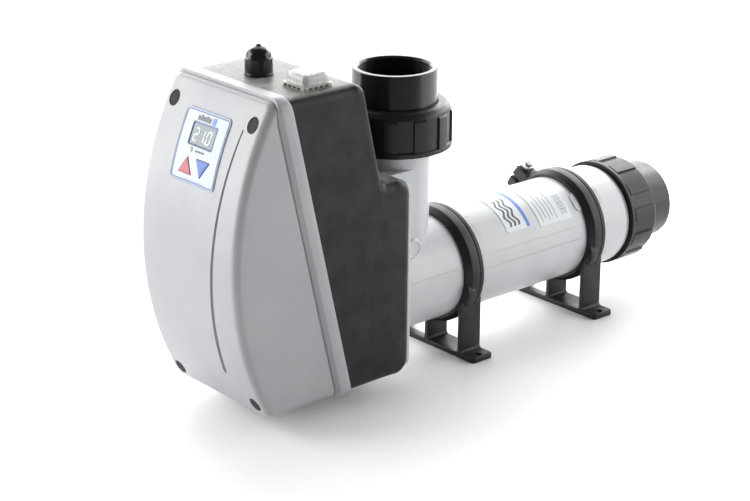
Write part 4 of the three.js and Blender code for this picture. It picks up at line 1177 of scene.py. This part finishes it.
kept = {
    "zincSteel": ["front_clamp_bolt", "front_clamp_nut", "rear_clamp_bolt", "rear_clamp_nut",
                  "element_flange", "mounting_plate", *("cover_screw_" + name for name in cornerNames),
                  *("flange_bolt_%d" % k for k in range(1, 5))],
    "epdmRubber": ["cover_gasket", "element_gasket", "top_union_seal", "rear_union_seal"],
    "drawnTitanium": ["heating_element_1", "heating_element_2", "heating_element_3", "sensor_pocket"],
    "mattBlackNylon": ["display_module", "overheat_cutout", "flow_switch_body", "terminal_block",
                       "cable_gland"],
    "greenSolderMask": ["control_board"],
    "creamPolyester": ["contactor", "flow_paddle"],
    "glossBlackPvc": ["switch_rocker"],
    "keyRed": ["reset_button"],
}
for finish, names in kept.items():
    for name in names:
        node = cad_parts[name]
        node.data.materials.clear()
        node.data.materials.append(finishes[finish])
print("kept CAD nodes:", sum(len(names) for names in kept.values()))

# ---------- floor, light and camera ----------

floorMesh = bpy.data.meshes.new("floor")
floorMesh.from_pydata([(-30, -30, 0), (30, -30, 0), (30, 30, 0), (-30, 30, 0)], [], [(0, 1, 2, 3)])
floor = bpy.data.objects.new("floor", floorMesh)
bpy.context.scene.collection.objects.link(floor)
# a white painted sweep, matt
sweep = {"dark": "fbfbfb", "light": "fdfdfd", "patchMm": 900, "grainMm": 4, "grainDepth": 0.0,
         "roughness": (0.5, 0.6)}
floor.data.materials.append(finishOf("whiteSweep", sweep))

view = {"at": (1.2513, -1.12886, 0.72927), "azimuth": 48.48, "elevation": 20.44, "roll": 0.44,
        "lens": 97.16688, "sensor": 36, "farthest": 100}
# softboxes round the object: bearing from the camera's own and height in degrees, distance and size in metres
lights = {
    "left": {"bearing": -90, "height": 18, "distance": 2.2, "size": (1.6, 1.6), "power": 51},
    "leftBehind": {"bearing": -135, "height": 25, "distance": 2.4, "size": (1.6, 1.4), "power": 22},
    "right": {"bearing": 90, "height": 18, "distance": 2.2, "size": (1.6, 1.6), "power": 27},
    "rightBehind": {"bearing": 135, "height": 25, "distance": 2.4, "size": (1.6, 1.4), "power": 34},
    "lowBehind": {"bearing": 180, "height": 24, "distance": 2.6, "size": (3.4, 2.3), "power": 100},
    "overhead": {"bearing": 180, "height": 60, "distance": 2.2, "size": (2.2, 1.2), "power": 14},
}
aimedAt = Vector((0, 0, 0.12))


def direction(bearing, height):
    # a unit vector from two angles in radians: bearing from -Y towards +X, height above the floor
    across = math.cos(height)
    return Vector((math.sin(bearing) * across, -math.cos(bearing) * across, math.sin(height)))


for name, light in lights.items():
    lamp = bpy.data.lights.new(name, "AREA")
    lamp.shape = "RECTANGLE"
    lamp.size, lamp.size_y = light["size"]
    lamp.energy = light["power"]
    holder = bpy.data.objects.new(name, lamp)
    bpy.context.scene.collection.objects.link(holder)
    away = direction(math.radians(view["azimuth"] + light["bearing"]), math.radians(light["height"]))
    holder.location = aimedAt + away * light["distance"]
    holder.rotation_euler = (-away).to_track_quat("-Z", "Y").to_euler()

world = bpy.data.worlds.new("studio")
bpy.context.scene.world = world
world.use_nodes = True
world.node_tree.nodes["Background"].inputs["Color"].default_value = (1, 1, 1, 1)
world.node_tree.nodes["Background"].inputs["Strength"].default_value = 0.2

azimuth, elevation, roll = (math.radians(view[k]) for k in ("azimuth", "elevation", "roll"))
backward = direction(azimuth, elevation)
rightward = (-backward).cross(Vector((0, 0, 1))).normalized()
upward = rightward.cross(-backward)
rolledRight = math.cos(roll) * rightward + math.sin(roll) * upward
rolledUp = -math.sin(roll) * rightward + math.cos(roll) * upward
camera = bpy.data.objects.new("camera", bpy.data.cameras.new("camera"))
bpy.context.scene.collection.objects.link(camera)
placing = Matrix((rolledRight, rolledUp, backward)).transposed().to_4x4()
placing.translation = Vector(view["at"]) + Vector((0, originY / 1000, 0))
camera.matrix_world = placing
camera.data.sensor_width = view["sensor"]
camera.data.lens = view["lens"]
camera.data.clip_end = view["farthest"]
bpy.context.scene.camera = camera
bpy.context.scene.view_settings.view_transform = "Standard"
print("stage done")
